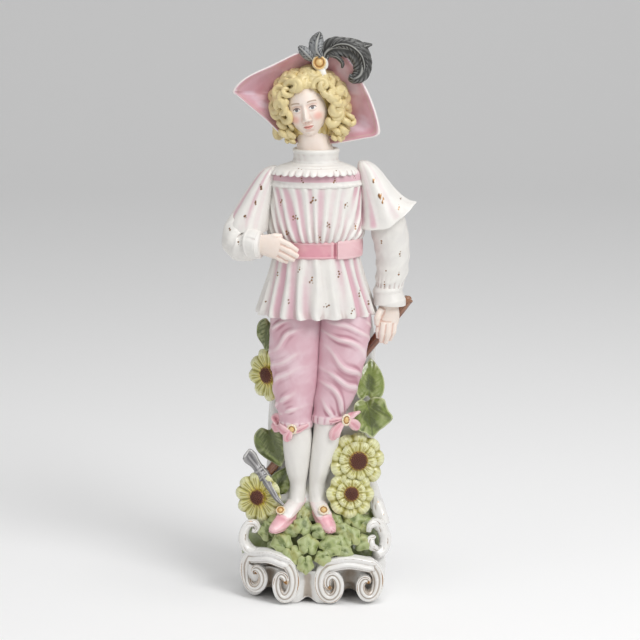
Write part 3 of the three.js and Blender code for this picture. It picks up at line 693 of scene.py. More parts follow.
def rosette(name, at, facing, radius, node, petals=8, oval=1.0, ring=0.6, scallop=0.035):
    # a boss in the middle, a groove, then a scalloped collar whose edge waves with the angle
    edgeAngle = np.linspace(0, 2 * np.pi, 72, endpoint=False)
    edge = radius * (1 + scallop * np.cos(petals * edgeAngle))
    outline = np.stack([edge * np.cos(edgeAngle), edge * np.sin(edgeAngle) * oval], -1)
    s, x, y = dishPlaces(outline, 26)
    waves = 1 - 4 * scallop * (1 - np.cos(petals * edgeAngle))
    boss = 0.36 * np.clip(1 - (s / 0.6) ** 2, 0, 1)
    face = radius * (boss + 0.26 * bump(s, 0.78, 0.17) * waves + 0.12)
    grid = turnTo(dishSkin(x, y, face, radius * 0.55 * (1 - s ** 8) + 0.02), at, facing)
    piece(name, [shellOf(grid, False, False)], gildFinish, [node], {
        "enamel": flat(grid, ease(bothSides(s), ring, ring + 0.12), 0)}, reach=0.3)


rosette("shoeRosette_left", (-22.4, -14.8, 51.2), (-0.1, -0.75, 0.65), 2.7, "shoe_rosette_left", 8, 1.0, 0.75)
rosette("shoeRosette_right", (2.0, -15.0, 51.4), (0.1, -0.75, 0.65), 3.1, "shoe_rosette_right")
rosette("kneeButton_left", (-15.8, -13.2, 98.2), (-0.3, -1, 0), 3.0, "knee_button_left")
rosette("kneeButton_right", (14.8, -13.0, 103.6), (0.3, -1, 0), 2.7, "knee_button_right", 10, 1.3)

ribbons = {
    "left": [
        [
            (-15.8, -12.6, 97.4, 1.2, 1.0), (-18.6, -12.4, 96.2, 2.4, 1.4),
            (-21.8, -10.6, 97.8, 2.6, 1.3), (-23.2, -8, 99.4, 1.4, 0.9),
        ],
        [
            (-16, -12.8, 97, 1.0, 1.0), (-17.6, -13.2, 95, 2.2, 1.5), (-18.6, -12.9, 92.8, 2.4, 1.3),
            (-17.6, -12.6, 91.2, 1.4, 0.8),
        ],
        [
            (-14.6, -13.2, 97, 1.0, 0.9), (-12.4, -13.4, 97.6, 1.6, 1.1), (-9, -13.2, 99.4, 1.6, 1.0),
            (-6.6, -12.2, 100.6, 1.0, 0.7),
        ],
        [
            (-21.6, -4.5, 99.4, 2.2, 1.2), (-24.2, -3.4, 102, 3.4, 1.3), (-25.4, -3, 98.4, 3.4, 1.2),
            (-24.6, -3, 94.2, 1.8, 0.8),
        ],
    ],
    "right": [
        [
            (14, -12.4, 102.6, 1.0, 1.0), (11.2, -12.9, 99.8, 2.0, 1.5), (8.6, -13.3, 96.4, 3.0, 2.0),
            (7.8, -13.1, 93.6, 2.8, 1.6), (8.6, -12.8, 92.2, 1.0, 0.8),
        ],
        [
            (16, -12.2, 104, 1.2, 1.0), (18.2, -10.8, 106, 2.8, 1.3), (20.4, -8.6, 106.6, 3.0, 1.1),
            (21.4, -7, 106, 1.6, 0.8),
        ],
        [
            (16, -12.2, 103, 1.2, 1.0), (18.4, -11.2, 101.4, 2.6, 1.3), (20.6, -9.4, 98.8, 2.8, 1.1),
            (21.4, -8.2, 97, 1.4, 0.8),
        ],
        [
            (12.6, -12.4, 104.4, 1.0, 0.9), (9.6, -13.2, 103.6, 1.3, 0.9), (6.4, -13.3, 103, 1.3, 0.9),
            (3.6, -12.9, 103, 1.0, 0.7),
        ],
    ],
}
hanging = {"left": (1,), "right": (0, 1)}  # the strips that hang down
for label, strips in ribbons.items():
    shells, marksOf = [], []
    for k, path in enumerate(strips):
        wide = (1, -0.2, 0.3) if k in hanging[label] else (0.2, -0.3, 1)
        t, angle = sheetOf(44, 40)
        grid = sweepSkin(path, t, angle, wide,
                         -0.4 * bump(np.abs(np.sin(angle)), 0.1, 0.35) * bump(t, 0.5, 0.4)
                         + 0.25 * ridges(t * 9 + np.sin(angle) * 2, 0.2) * ease(t, 0.9, 0.4))
        shells.append(shellOf(grid))
        marksOf.append(flat(grid, 0.9 * bump(np.abs(np.sin(angle)), 1.0, 0.25)))
    piece("kneeRibbon_" + label, shells, beltFinish, ["knee_bow_" + label],
          {"paint": np.concatenate(marksOf)}, reach=0.4)
print("breeches, stockings and shoes")

sleeves = {
    "left": {
        "path": [
            (-36, -1, 226, 6, 6), (-40, -1.4, 220, 7, 7), (-44.4, -4.6, 213, 8.2, 7.8),
            (-46, -9, 206, 8.7, 8.9), (-42.6, -13.4, 203, 8.4, 8.6), (-39.2, -15.9, 204, 7.0, 6.9),
            (-36.8, -17.2, 204.6, 6.0, 5.8),
        ],
        "wide": (0.7, 0, -0.7),
    },
    "right": {
        "path": [
            (33, 0, 229, 7, 8), (36, 0, 220, 8.6, 9.4), (39, 0, 210, 9.7, 10.2), (40.6, 0, 200, 9.5, 9.7),
            (40.8, 0, 190, 8.9, 8.9), (39.4, -0.4, 181, 7.9, 7.9), (38.6, -0.6, 176.4, 7.0, 7.0),
        ],
        "wide": (0, 1, 0),
    },
    "depth": 0.9, "grid": (150, 130), "gathers": 18,
    "dots": {
        "left": [(-50, -14, 212), (-45, -18, 205), (-51, -8, 205)],
        "right": [(34, -9, 205), (44, -8, 198), (37, -9, 188), (44, -7, 186), (36, -8, 180)],
    },
}


def sleeveRelief(t, a):
    # soft creases cross the arm where it bends, fine gathers run into the cuff
    phase = 2 * np.pi * (t * 6.5 + 0.5 * np.sin(a + 0.6) + 0.25 * drift(61, a * 1.5, t * 4))
    crease = ((1 + np.cos(phase)) / 2) ** 1.6
    gather = ridges(a * sleeves["gathers"] + drift(62, a * 2, t))
    return (sleeves["depth"] * (crease * (0.45 + 0.4 * drift(63, a * 2, t * 6))
                                + 0.8 * (gather - 0.7) * ease(t, 0.68, 1.0)))


for label in ("left", "right"):
    own = sleeves[label]
    t, angle = sheetOf(*sleeves["grid"])
    grid = sweepSkin(own["path"], t, angle, own["wide"], sleeveRelief(t, angle))
    stripe = ease(1 - ridges(angle * 9 + drift(64, angle * 2, t * 2)), 0.5, 0.9) * 0.2
    piece("sleeve_" + label, [shellOf(grid)], smockFinish, ["forearm_" + label], {
        "paint": flat(grid, stripe), "gilt": sprigs(grid, sleeves["dots"][label], 7, 0.55, 1.8)}, reach=0.8)

cuffs = {
    "left": {
        "path": [
            (-40.2, -15.6, 204.2, 7.0, 6.8), (-39.4, -16, 204.3, 8.3, 8.1),
            (-37.2, -17.2, 204.6, 8.5, 8.2), (-34.8, -18.5, 204.6, 7.9, 7.7),
            (-33.8, -19, 204.6, 7.6, 7.4), (-33.2, -19.3, 204.6, 7.0, 6.8), (-32.9, -19.4, 204.6, 5.2, 5),
        ],
        "wide": (0, 0, 1),
    },
    "right": {
        "path": [
            (38, -0.5, 178, 6, 6), (38, -0.5, 177.2, 8, 8), (38.3, -0.7, 174, 8.3, 8.3),
            (38.9, -0.9, 170.4, 9.2, 9), (39.2, -1, 168.8, 9.5, 9.2), (39.2, -1, 168.1, 8.6, 8.3),
            (39.2, -1, 167.8, 6.4, 6.2),
        ],
        "wide": (0, 1, 0),
    },
}
for label, own in cuffs.items():
    t, angle = sheetOf(60, 120)
    grid = sweepSkin(own["path"], t, angle, own["wide"],
                     0.3 * bump(t, 0.78, 0.04) + 0.3 * bump(t, 0.25, 0.04)
                     + 0.22 * drift(66, angle * 2, t * 2)
                     - 0.5 * bump(angle, 0.6, 0.07) * bump(t, 0.5, 0.24))
    piece("cuffBand_" + label, [shellOf(grid)], smockFinish, ["cuff_" + label])

capes = {
    "left": {
        "ovals": [
            (-39.8, -2.8, 216, 8, 9), (-40.4, -3, 212, 11, 12.6), (-40.6, -3, 211, 12.2, 13.6),
            (-40.6, -3, 211.8, 12.5, 13.8), (-39.8, -2.6, 216, 11.9, 13), (-37, -1.6, 224, 9.9, 11.4),
            (-33, -0.4, 234, 7.4, 10), (-29.6, 0.4, 241, 5.8, 8.4), (-27.4, 0.6, 244.6, 4.2, 6.4),
            (-26, 0.8, 246.2, 2, 3.4), (-25.8, 0.8, 246.4, 0.5, 1),
        ],
        "slant": 0.0, "knee": -70, "drop": 0, "stripe": -0.2,
        "dots": [(-42, -14, 220), (-36, -13, 228), (-49, -9, 219), (-33, -10, 236)],
    },
    "right": {
        "ovals": [
            (37.2, -2.6, 225, 10, 9), (37.4, -2.6, 221.6, 13.8, 11.6), (37.5, -2.6, 220.4, 15.6, 12.8),
            (37.5, -2.5, 221.2, 16, 13), (36.4, -2, 225, 13.8, 12), (34.2, -1.4, 231, 11.4, 10.6),
            (31, -0.4, 238, 9.0, 9.6), (28, 0.4, 243.6, 6.8, 8), (25.8, 0.8, 247, 4.8, 6.2),
            (24.4, 1, 249, 2.6, 3.8), (24, 1, 249.4, 0.6, 1),
        ],
        "slant": 0.86, "knee": 37.5, "drop": -8.4, "stripe": -0.5,
        "dots": [
            (34, -13, 232), (36, -13, 230), (35, -13, 228), (33, -12, 231), (44, -10, 224), (47, -8, 231),
            (30, -9, 240),
        ],
    },
    "folds": 8, "depth": 0.8, "grid": (100, 220),
}
for label in ("left", "right"):
    own = capes[label]
    # folds fall from the shoulder and open at the hem
    t, angle = sheetOf(*capes["grid"])
    phase = angle * capes["folds"] + 1.2 * drift(71, angle * 1.6, t * 1.5)
    opening = (0.3 + 1.1 * ease(t, 0.95, 0.35)) * (0.8 + 0.5 * drift(73, angle * 3))
    grid = stackSkin(own["ovals"], t, angle, capes["depth"] * (ridges(phase, 0.25) - 0.7) * opening)
    # the hem drops level up to the knee of its line and climbs beyond it, which dies out at the shoulder
    beyond = 2.5 * np.log1p(np.exp(np.clip((grid[..., 0] - own["knee"]) / 2.5, -30, 30)))
    grid[..., 2] += (own["drop"] + own["slant"] * beyond) * (1 - ease(t, 0.3, 0.8))
    grid[..., 2] -= 0.8 * (ridges(phase) - 0.6) * bump(t, 0.3, 0.1)
    valley = 0.35 * ease(1 - ridges(phase), 0.1, 0.6) * (0.6 + 0.6 * drift(72, angle * 3))
    band = (0.8 * bump(angle, own["stripe"], 0.2) * (0.75 + 0.6 * drift(74, angle * 5, t * 5))
            * ease(t, 0.95, 0.75))
    band = band + 0.45 * bump(angle, own["stripe"] - 0.8, 0.25) * ease(t, 0.95, 0.7)
    piece("capeSleeve_" + label, [shellOf(grid)], smockFinish, ["cape_sleeve_" + label],
          {"paint": flat(grid, (valley + band) * ease(t, 0.26, 0.36)),
           "gilt": sprigs(grid, own["dots"], 8, 0.7, 1.7)})

skinLook = {
    "body": (0.82, 0.70, 0.62), "cloud": (0.84, 0.74, 0.67), "shade": (0.62, 0.36, 0.28), "dirtAndShade": 0.55,
    "dirtAndShadeAt": 0.35, "wearAndHighlight": 0.3, "ridge": (0.87, 0.79, 0.72), "rough": 0.4, "glow": 0.04,
    "marks": {"blush": ((0.80, 0.45, 0.40), 0.2, 1.0, 0.7)},
}
skinFinish = porcelain("skinBisque", skinLook)
# each finger: knuckle, middle, end (x, y, z) and its thickness
hands = {
    "left": {
        "palm": [
            (-36.4, -17, 204.6, 5.2, 3.4), (-32, -18.4, 204.6, 5.6, 3.2), (-27, -19.4, 204.2, 6.6, 3.2),
            (-22.6, -20, 203, 6.2, 2.6), (-20.6, -20.2, 202.4, 3, 1.4),
        ],
        "wide": (0.3, 0, 1), "across": (0.31, 0.2, 1),
        "fingers": [
            [(-22.4, -20.4, 207.2), (-17.6, -21, 205), (-12.8, -20.4, 201.8), 1.75],
            [(-22.6, -20.8, 204.2), (-17.4, -21.6, 201.6), (-12.6, -20.8, 198.6), 1.8],
            [(-24, -20.6, 201.4), (-19, -21.4, 198.8), (-14.6, -20.6, 196.4), 1.7],
            [(-26.2, -19.8, 199.4), (-21.8, -20.4, 197), (-18.2, -19.8, 195.2), 1.5],
            [(-30, -19, 207.4), (-25.6, -19.6, 209.4), (-21.4, -19, 209.6), 1.8],
        ],
    },
    "right": {
        "palm": [
            (38.6, -1.4, 171, 4.4, 5), (38.7, -1.8, 167, 4.8, 5.6), (38.7, -2.6, 162, 5, 6.2),
            (38.2, -3.6, 157.6, 4.8, 5.8), (37.6, -4, 155.6, 2.4, 3),
        ],
        "wide": (0, 1, 0), "across": (1, 0.2, 0.1),
        "fingers": [
            [(41.6, -5.4, 158.6), (41.2, -7, 153.4), (39.4, -6.2, 148.6), 1.75],
            [(38.8, -7.6, 158.4), (38.2, -8.8, 152.4), (36.8, -7.4, 147), 1.8],
            [(36, -7.6, 158.6), (35.2, -8.6, 152.8), (34.6, -7.2, 147.6), 1.7],
            [(33.8, -6, 159.2), (32.8, -7, 154.2), (32.8, -6, 149.8), 1.5],
            [(34.6, -6, 166), (32.4, -8, 161.6), (32, -8, 157.4), 1.75],
        ],
    },
}
for label, own in hands.items():
    shells = [shellOf(sweepSkin(own["palm"], *sheetOf(40, 40), own["wide"]))]
    t, angle = sheetOf(40, 24)
    joints = 0.16 * bump(t, 0.36, 0.07) - 0.12 * bump(t, 0.55, 0.1)
    for base, bend, tip, thick in own["fingers"]:
        line = [(*base, thick * 1.12, thick), (*bend, thick * 1.02, thick * 0.98),
                (*tip, thick * 0.82, thick * 0.8),
                (*(np.array(tip) * 1.14 - np.array(bend) * 0.14), 0.4, 0.4)]
        shells.append(shellOf(sweepSkin(line, t, angle, own["across"], joints)))
    mesh = fused("hand_" + label, shells, 0.36, 3)
    co = placesOf(mesh) / mm - middle
    tips = np.array([finger[2] for finger in own["fingers"]])
    near = np.min(np.linalg.norm(co[:, None] - tips[None], axis=-1), axis=1)
    piece("hand_" + label, mesh, skinFinish, ["hand_" + label],
          {"blush": 0.6 * np.exp(-(near / 2.4) ** 2)}, reach=0.5)
print("sleeves and hands")

mossGreen = (0.22, 0.27, 0.09)
glazeLook = {
    "body": (0.80, 0.79, 0.77), "cloud": (0.77, 0.755, 0.73), "shade": (0.34, 0.25, 0.17), "dirtAndShade": 0.65,
    "dirtAndShadeAt": 0.3, "wearAndHighlight": 0.3, "rough": 0.22, "coat": 0.5, "grain": 0.05,
    "giltColour": (0.34, 0.17, 0.05), "ragged": 0.35,
    "marks": {
        "moss": (mossGreen, 0.3, 0.6, 0.95), "rim": ((0.50, 0.50, 0.16), 0.3, 0.9, 0.75),
        # the dark brown grey of the last mark is painted shade for the hollows under the scrolls and the
        # inner turns of their curls
        "bronze": ((0.40, 0.24, 0.09), 0.3, 0.7, 0.9), "paintedShade": ((0.30, 0.24, 0.18), 0.2, 0.9, 0.6),
    },
}
glazeFinish = porcelain("whiteGlaze", glazeLook)

plinth = {
    "profile": [
        (0.02, 14), (0.5, 14), (0.68, 10), (0.72, 1.5), (0.76, 0), (0.9, 0), (0.94, 2), (0.98, 8),
        (1, 18), (0.97, 26), (0.88, 31.4), (0.72, 35.4), (0.5, 38.6), (0.26, 40.4), (0.02, 41),
    ],
    "grid": (100, 220), "slope": 0.62, "lumps": 0.7, "hollow": 9.0, "notch": 7.0,
}
ovals = [(-4, 0, height, 42 * share, 30.5 * share) for share, height in plinth["profile"]]
t, angle = sheetOf(*plinth["grid"])
grid = stackSkin(ovals, t, angle, plinth["lumps"] * drift(81, angle * 3, t * 9) * ease(t, 0.5, 0.62))
back = grid[..., 1]
outside = ease(t, 0.45, 0.6)
rise = plinth["slope"] * np.minimum(back + 2, 16) * np.clip((grid[..., 2] - 20) / 8, 0, 1) * outside
grid[..., 2] = (np.minimum(grid[..., 2] + rise, 52)
                + 0.35 * drift(82, grid[..., 0] * 0.4, back * 0.4) * outside)
front = ease(-back, -12, 0)
# the front is hollowed under each scroll's arch, and its lower edge lifts there
hollows = bump(grid[..., 0], -28.5, 5.5) + bump(grid[..., 0], 16, 7) + 0.5 * bump(grid[..., 0], -7, 4)
dent = hollows * ease(-back, 0, 14)
grid[..., 1] += plinth["hollow"] * dent * ease(grid[..., 2], 27, 14) * ease(t, 0.3, 0.4)
grid[..., 2] += plinth["notch"] * dent * ease(grid[..., 2], 12, 0)
moss = outside * ease(grid[..., 2], 21.5, 25.5) * front
# painted shade: the hollows under the scroll arches darken, more towards their bottom
piece("plinthBody", [shellOf(grid)], glazeFinish, ["plinth"],
      {"paintedShade": flat(grid, np.clip(dent, 0, 1) * ease(grid[..., 2], 24, 16)), "moss": flat(grid, moss),
       "rim": flat(grid, outside * front * bump(grid[..., 2], 25.0, 2.6) * ease(back, -14, -24))},
      reach=1.0)

rock = {
    "ovals": [
        (1, 6, 44, 35, 18), (1, 8, 50, 34.4, 16.6), (1, 10, 56, 33, 15), (1, 13, 72, 30.6, 11.6),
        (1.4, 14, 96, 30.6, 10.4), (1.6, 14.6, 126, 30.0, 9.8), (1.4, 14.4, 148, 30.6, 9.6),
        (1.4, 13.4, 160, 28, 8.4), (1.4, 13, 166, 20, 6),
    ],
    "grid": (170, 220), "lumps": 1.9, "grooves": 0.8,
}
t, angle = sheetOf(*rock["grid"])
grid = stackSkin(rock["ovals"], t, angle,
                 rock["lumps"] * drift(83, angle * 2.2, t * 7) * ease(t, 0, 0.06)
                 + rock["grooves"] * (ridges(angle * 15 + 2.4 * drift(84, angle * 2, t * 5)) - 0.6)
                 * (0.5 + 0.5 * drift(85, angle, t * 4)))
piece("rockWall", [shellOf(grid)], glazeFinish, ["rock"], {
    "moss": flat(grid, 0.8 * ease(grid[..., 2], 58, 50) * ease(-grid[..., 1], -4, 2)),
    "rim": flat(grid, 0.5 * bump(grid[..., 2], 60, 5) * ease(np.cos(angle), 0.1, 0.5))}, reach=1.2)


def baseFront(x):
    # how far back the front of the base lies: straight in the middle, falling away at both ends
    outward = np.where(x < -20, (-20 - x) / 26, np.maximum(0, (x - 24) / 30))
    return -32 + 22 * np.abs(outward) ** 1.5


scrolls = {
    "left": {"a": (-36.2, 14.6, 7.4, 10.6, 1.15), "b": (-20.6, 12.7, 6.8, 12.0, 1.25)},
    "right": {"a": (6.2, 12.0, 7.4, 10.8, 1.45), "b": (26.6, 11.8, 7.6, 10.8, 1.1)}, "arch": 1.6,
    "halfDepth": 6.6, "halfThickness": 4.0, "eye": 2.0, "flute": 1.5, "grid": (340, 60),
}


def volute(centre, turns, outwardFirst):
    # a spiral whose radius is the rim's times (1 - share)^0.75, clockwise, with its outer end on top
    share = np.linspace(0, 1, 26)
    way = -1 if outwardFirst else 1
    theta = np.pi / 2 + way * 2 * np.pi * turns * share
    radius = (1 - share) ** 0.75 * 0.92 + 0.08
    x = centre[0] + centre[2] * radius * np.cos(theta)
    z = centre[1] + centre[3] * radius * np.sin(theta)
    points = np.stack([x, z, share], -1)
    return points if outwardFirst else points[::-1]


for label in ("left", "right"):
    own = scrolls[label]
    arch = ((np.array([own["a"][:2], own["b"][:2]]).mean(0)
             + (0, (own["a"][3] + own["b"][3]) / 2 + scrolls["arch"])).tolist() + [0])
    line = np.vstack([volute(own["a"][:4], own["a"][4], False), arch,
                      volute(own["b"][:4], own["b"][4], True)])
    thick = scrolls["halfThickness"] + (scrolls["eye"] - scrolls["halfThickness"]) * line[:, 2]
    deep = scrolls["halfDepth"] * (1 - 0.25 * line[:, 2])
    y = baseFront(line[:, 0]) + scrolls["halfDepth"] - 1.6 * line[:, 2]
    path = np.stack([line[:, 0], y, line[:, 1], deep, thick], -1)
    # a flute runs down the middle of the front with a bead on each side of it
    t, angle = sheetOf(*scrolls["grid"])
    face = angle + np.pi / 2
    flutes = (-scrolls["flute"] * bump(face, 0.25, 0.3) - 0.6 * bump(face, -0.75, 0.16)
              + 0.5 * bump(np.abs(face), 0.9, 0.2) + 0.2 * drift(87, angle * 2, t * 9))
    grid = sweepSkin(path, t, angle, (0, 1, 0), flutes * ease(t, 0, 0.04) * ease(t, 1, 0.96))
    # the gilt lines are rubbed thinner in places
    wearAndHighlight = 0.75 + 0.35 * drift(88, t * 26, face * 2)
    gilt = (np.maximum(np.maximum(bump(face, 0.72, 0.1), bump(face, -0.6, 0.08)), bump(face, -0.95, 0.1))
            * wearAndHighlight)
    eye = 1 - ease(np.minimum(t, 1 - t), 0.02, 0.07)
    stripes = bump(face, -1.2, 0.5) * (0.5 + 0.5 * np.cos(face * 22)) * ease(np.minimum(t, 1 - t), 0.4, 0.25)
    piece("scrollBand_" + label, [shellOf(grid)], glazeFinish, ["front_scroll_" + label],
          {"gilt": flat(grid, np.maximum(gilt, 0.95 * eye * bump(face, 0, 1.0))),
           "bronze": flat(grid, stripes + 0.7 * eye),
           # painted shade along one side of the band, strongest in the inner turns of each curl
           "paintedShade": flat(grid, 0.8 * bump(np.abs(angle), np.pi, 0.9)
                        * ease(np.minimum(t, 1 - t), 0.42, 0.3))}, reach=0.6)

sideScrolls = {
    "left": {
        "paths": [
            [
                (-38.8, -11, 38.6, 1.8, 1.4), (-36.6, -11, 38.4, 2, 1.5), (-35.6, -11, 40.4, 2.2, 1.7),
                (-37.2, -11, 42.6, 2.8, 2), (-40.6, -11, 42.2, 3.6, 2.3), (-43, -11, 38, 4.2, 2.6),
                (-43.4, -12, 33, 4.6, 2.8), (-40.6, -13, 28.4, 5, 3), (-35.6, -16, 26.4, 4, 2.6),
            ],
        ],
    },
    "right": {
        "paths": [
            [
                (27.4, -17, 39.4, 1.6, 1.4), (28.4, -17, 42.6, 2.4, 2), (31.4, -14, 43.4, 3.6, 2.8),
                (35, -11, 40, 4.6, 3.4), (37.2, -11, 34, 5, 3.4), (35.8, -13, 28, 5, 3.2),
                (31.6, -17, 25.4, 4, 2.6),
            ],
            [
                (31.2, -16.4, 36.6, 1.2, 1.2), (28.8, -18, 35, 2.4, 2.2), (29.2, -19, 31.6, 2.6, 2.4),
                (32, -17, 29.4, 2.2, 1.8),
            ],
            [(30.4, 0, 54, 2, 3), (32.4, -3, 51, 3.8, 4), (34.4, -6, 46.6, 4.2, 4), (36.2, -8, 41, 4, 4)],
        ],
    },
}
for label, own in sideScrolls.items():
    shells, gilts = [], []
    for path in own["paths"]:
        t, angle = sheetOf(96, 44)
        grid = sweepSkin(path, t, angle, (0.3, 1, 0),
                         -0.6 * bump(angle + np.pi / 2, 0, 0.5) + 0.3 * drift(89, angle * 2, t * 5))
        shells.append(shellOf(grid))
        gilts.append(flat(grid, bump(np.abs(angle + np.pi / 2), 0.8, 0.14)
                          * (0.7 + 0.4 * drift(90, t * 16, angle)) * ease(t, 0.9, 0.7)))
    piece("sideScroll_" + label, shells, glazeFinish, ["side_scroll_" + label],
          {"gilt": np.concatenate(gilts)}, reach=0.5)
print("base")

handleLook = {
    "body": (0.16, 0.045, 0.022), "cloud": (0.24, 0.075, 0.03), "cloudScale": 60.0,
    "shade": (0.05, 0.02, 0.015), "dirtAndShade": 0.7, "wearAndHighlight": 0.6, "ridge": (0.38, 0.20, 0.11), "rough": 0.2,
    "coat": 0.5, "ragged": 0.5, "marks": {"grain": ((0.09, 0.025, 0.015), 0.4, 0.8, 0.8)},
}
steelLook = {
    "body": (0.13, 0.125, 0.13), "cloud": (0.24, 0.235, 0.24), "cloudScale": 80.0,
    "shade": (0.07, 0.065, 0.06), "dirtAndShade": 0.8, "wearAndHighlight": 0.6, "ridgeAt": 0.8, "ridge": (0.50, 0.49, 0.48),
    # the pale edge mark is a painted highlight
    "rough": 0.25, "coat": 0.4, "marks": {"edge": ((0.80, 0.79, 0.76), 0.4, 0.8, 0.9)},
}
handleFinish = porcelain("handleGlaze", handleLook)
steelFinish = porcelain("steelGlaze", steelLook)
mattock = {
    "handle": [
        (49.9, 2.5, 170, 1.6, 1.6), (49.4, 2.5, 169.4, 2.7, 2.7), (46, 2.7, 165, 2.8, 2.8),
        (10, 5.4, 119, 2.6, 2.6), (-27, 5.4, 71.6, 2.6, 2.6), (-31, 3.4, 68, 2.4, 2.4),
    ],
    "head": [
        (-42.2, -0.4, 81.2, 1, 2.8), (-41.2, 0, 80.4, 1.7, 3.8), (-39.6, 0.4, 78.0, 2.2, 4.2),
        (-37.2, 0.6, 75.0, 2.8, 3.2), (-34.8, 0.4, 71.6, 3.6, 3.0), (-32.4, 0, 68.2, 4.2, 3.7),
        (-30.2, -2.4, 64.9, 3.6, 2.9), (-27.8, -6.4, 61.4, 2.6, 2.1), (-24.6, -10.0, 57.0, 1.9, 1.6),
        (-20.8, -12.4, 53.8, 0.8, 0.7),
    ],
}
t, angle = sheetOf(320, 40)
grid = sweepSkin(mattock["handle"], t, angle, (0, 1, 0),
                 0.16 * drift(91, angle * 2, t * 14)
                 + 0.1 * ridges(angle * 7 + 2 * drift(92, angle, t * 5)))
piece("mattockHandle", [shellOf(grid)], handleFinish, ["mattock_handle"], {
    "grain": flat(grid, ease(drift(93, angle * 5, t * 8), 0.1, 0.7))}, reach=0.5)
t, angle = sheetOf(180, 64)
grid = sweepSkin(mattock["head"], t, angle, (0, 1, 0),
                 0.35 * bump(np.abs(angle), np.pi / 2, 0.2) * ease(t, 0.06, 0.2)
                 + 0.45 * (bump(t, 0.45, 0.02) + bump(t, 0.62, 0.02))
                 - 0.4 * bump(angle + np.pi / 2, 0, 0.5) * bump(t, 0.2, 0.16))
# painted highlight: two pale lines along the head and a pale band round one end
piece("mattockHead", [shellOf(grid)], steelFinish, ["mattock_head"], {
    "edge": flat(grid, bump(np.cos(angle), 0.8, 0.09) + bump(t, 0.02, 0.03))}, reach=0.4)

petalLook = {
    "body": (0.62, 0.58, 0.17), "cloud": (0.68, 0.66, 0.26), "cloudScale": 140.0,
    "shade": (0.30, 0.26, 0.05), "dirtAndShade": 0.75, "dirtAndShadeAt": 0.3, "wearAndHighlight": 0.4, "ridge": (0.84, 0.83, 0.60),
    "rough": 0.28, "coat": 0.35, "ragged": 0.2,
    "marks": {
        "tip": ((0.70, 0.72, 0.42), 0.45, 1.0, 0.8), "core": ((0.68, 0.56, 0.06), 0.2, 0.9, 0.9),
        "line": ((0.40, 0.38, 0.10), 0.45, 0.9, 0.6), "rust": ((0.20, 0.055, 0.02), 0.5, 0.75, 0.9),
    },
}
seedLook = {
    "body": (0.10, 0.022, 0.012), "cloud": (0.15, 0.035, 0.015), "shade": (0.035, 0.008, 0.006),
    "dirtAndShade": 0.8, "wearAndHighlight": 0.5, "ridge": (0.20, 0.07, 0.025), "rough": 0.5,
    "marks": {"pollen": ((0.62, 0.44, 0.06), 0.5, 1.1, 0.85)},
}
petalFinish = porcelain("petalYellow", petalLook)
seedFinish = porcelain("seedBrown", seedLook)
goldenAngle = 2.39996
flowers = {
    "upper_right": {
        "at": (21.4, -5.4, 78), "facing": (0.25, -1, 0.12), "radius": 16.4, "disc": 5.6, "petals": 9,
        "inner": 0.68,
    },
    "lower_right": {
        "at": (17.6, -9.6, 59.4), "facing": (0.15, -1, 0.3), "radius": 13.8, "disc": 4.4, "petals": 8,
        "inner": 0.62,
    },
    "lower_left": {
        "at": (-35.6, -4, 56), "facing": (-0.45, -1, 0.12), "radius": 14.6, "disc": 4.6, "petals": 10,
        "inner": 0,
    },
    "upper_left": {
        "at": (-30, 3, 126), "facing": (-0.9, -1, 0), "radius": 15.2, "disc": 5.0, "petals": 9,
        "inner": 0,
    },
}


def petalRing(own, radius, petals, turn, lift, seed):
    # scooped petals: a point's height rises with the share, dips at the seams between petals and in the
    # middle of each, and falls at the tips; the outline is notched at the seams
    a = np.linspace(0, 2 * np.pi, petals * 20, endpoint=False)
    sway = drift(seed, np.cos(a) * 2, np.sin(a) * 2)
    notch = 0.14 if radius == own["radius"] else 0.07
    edge = radius * (1 - notch + notch * ridges(petals * a + turn, 0.02) ** 0.6 + 0.035 * sway)
    s, x, y = dishPlaces(np.stack([edge * np.cos(a), edge * np.sin(a)], -1), 32)
    angle = np.ones((32, 1)) * a[None]
    each = ridges(petals * angle + turn, 0.02)
    fine = np.cos(petals * 5 * angle + 5 * turn)
    scoop = bump(np.cos(petals * angle + turn), 1, 0.7) * bump(s, 0.7, 0.25)
    rise = 0.16 * s ** 1.5 - 0.2 * ease(s, 0.72, 1.05) ** 2 + 0.13 * (each - 0.8) * ease(s, 0.25, 0.7)
    face = lift + radius * (rise - 0.05 * scoop) + 0.1 * fine * ease(s, 0.25, 0.6) + 0.4 * s * sway
    flecks = drift(seed + 1, np.cos(angle) * s * 22, np.sin(angle) * s * 22)
    seams = 0.6 * (1 - ridges(petals * angle + turn, 0.01))
    marksOf = {
        "tip": ease(s, 0.5, 0.95) * each,
        "core": ease(s, 0.75, 0.3),
        "line": (0.5 + 0.5 * fine) * ease(s, 0.3, 0.55) + seams,
        "rust": ease(flecks, 0.15, 0.5) * bump(s * radius, own["disc"] * 1.2, 1.6),
    }
    marksOf = {label: bothSides(values) for label, values in marksOf.items()}
    return dishSkin(x, y, face, 2.4 * (1 - s ** 6) + 0.04), marksOf


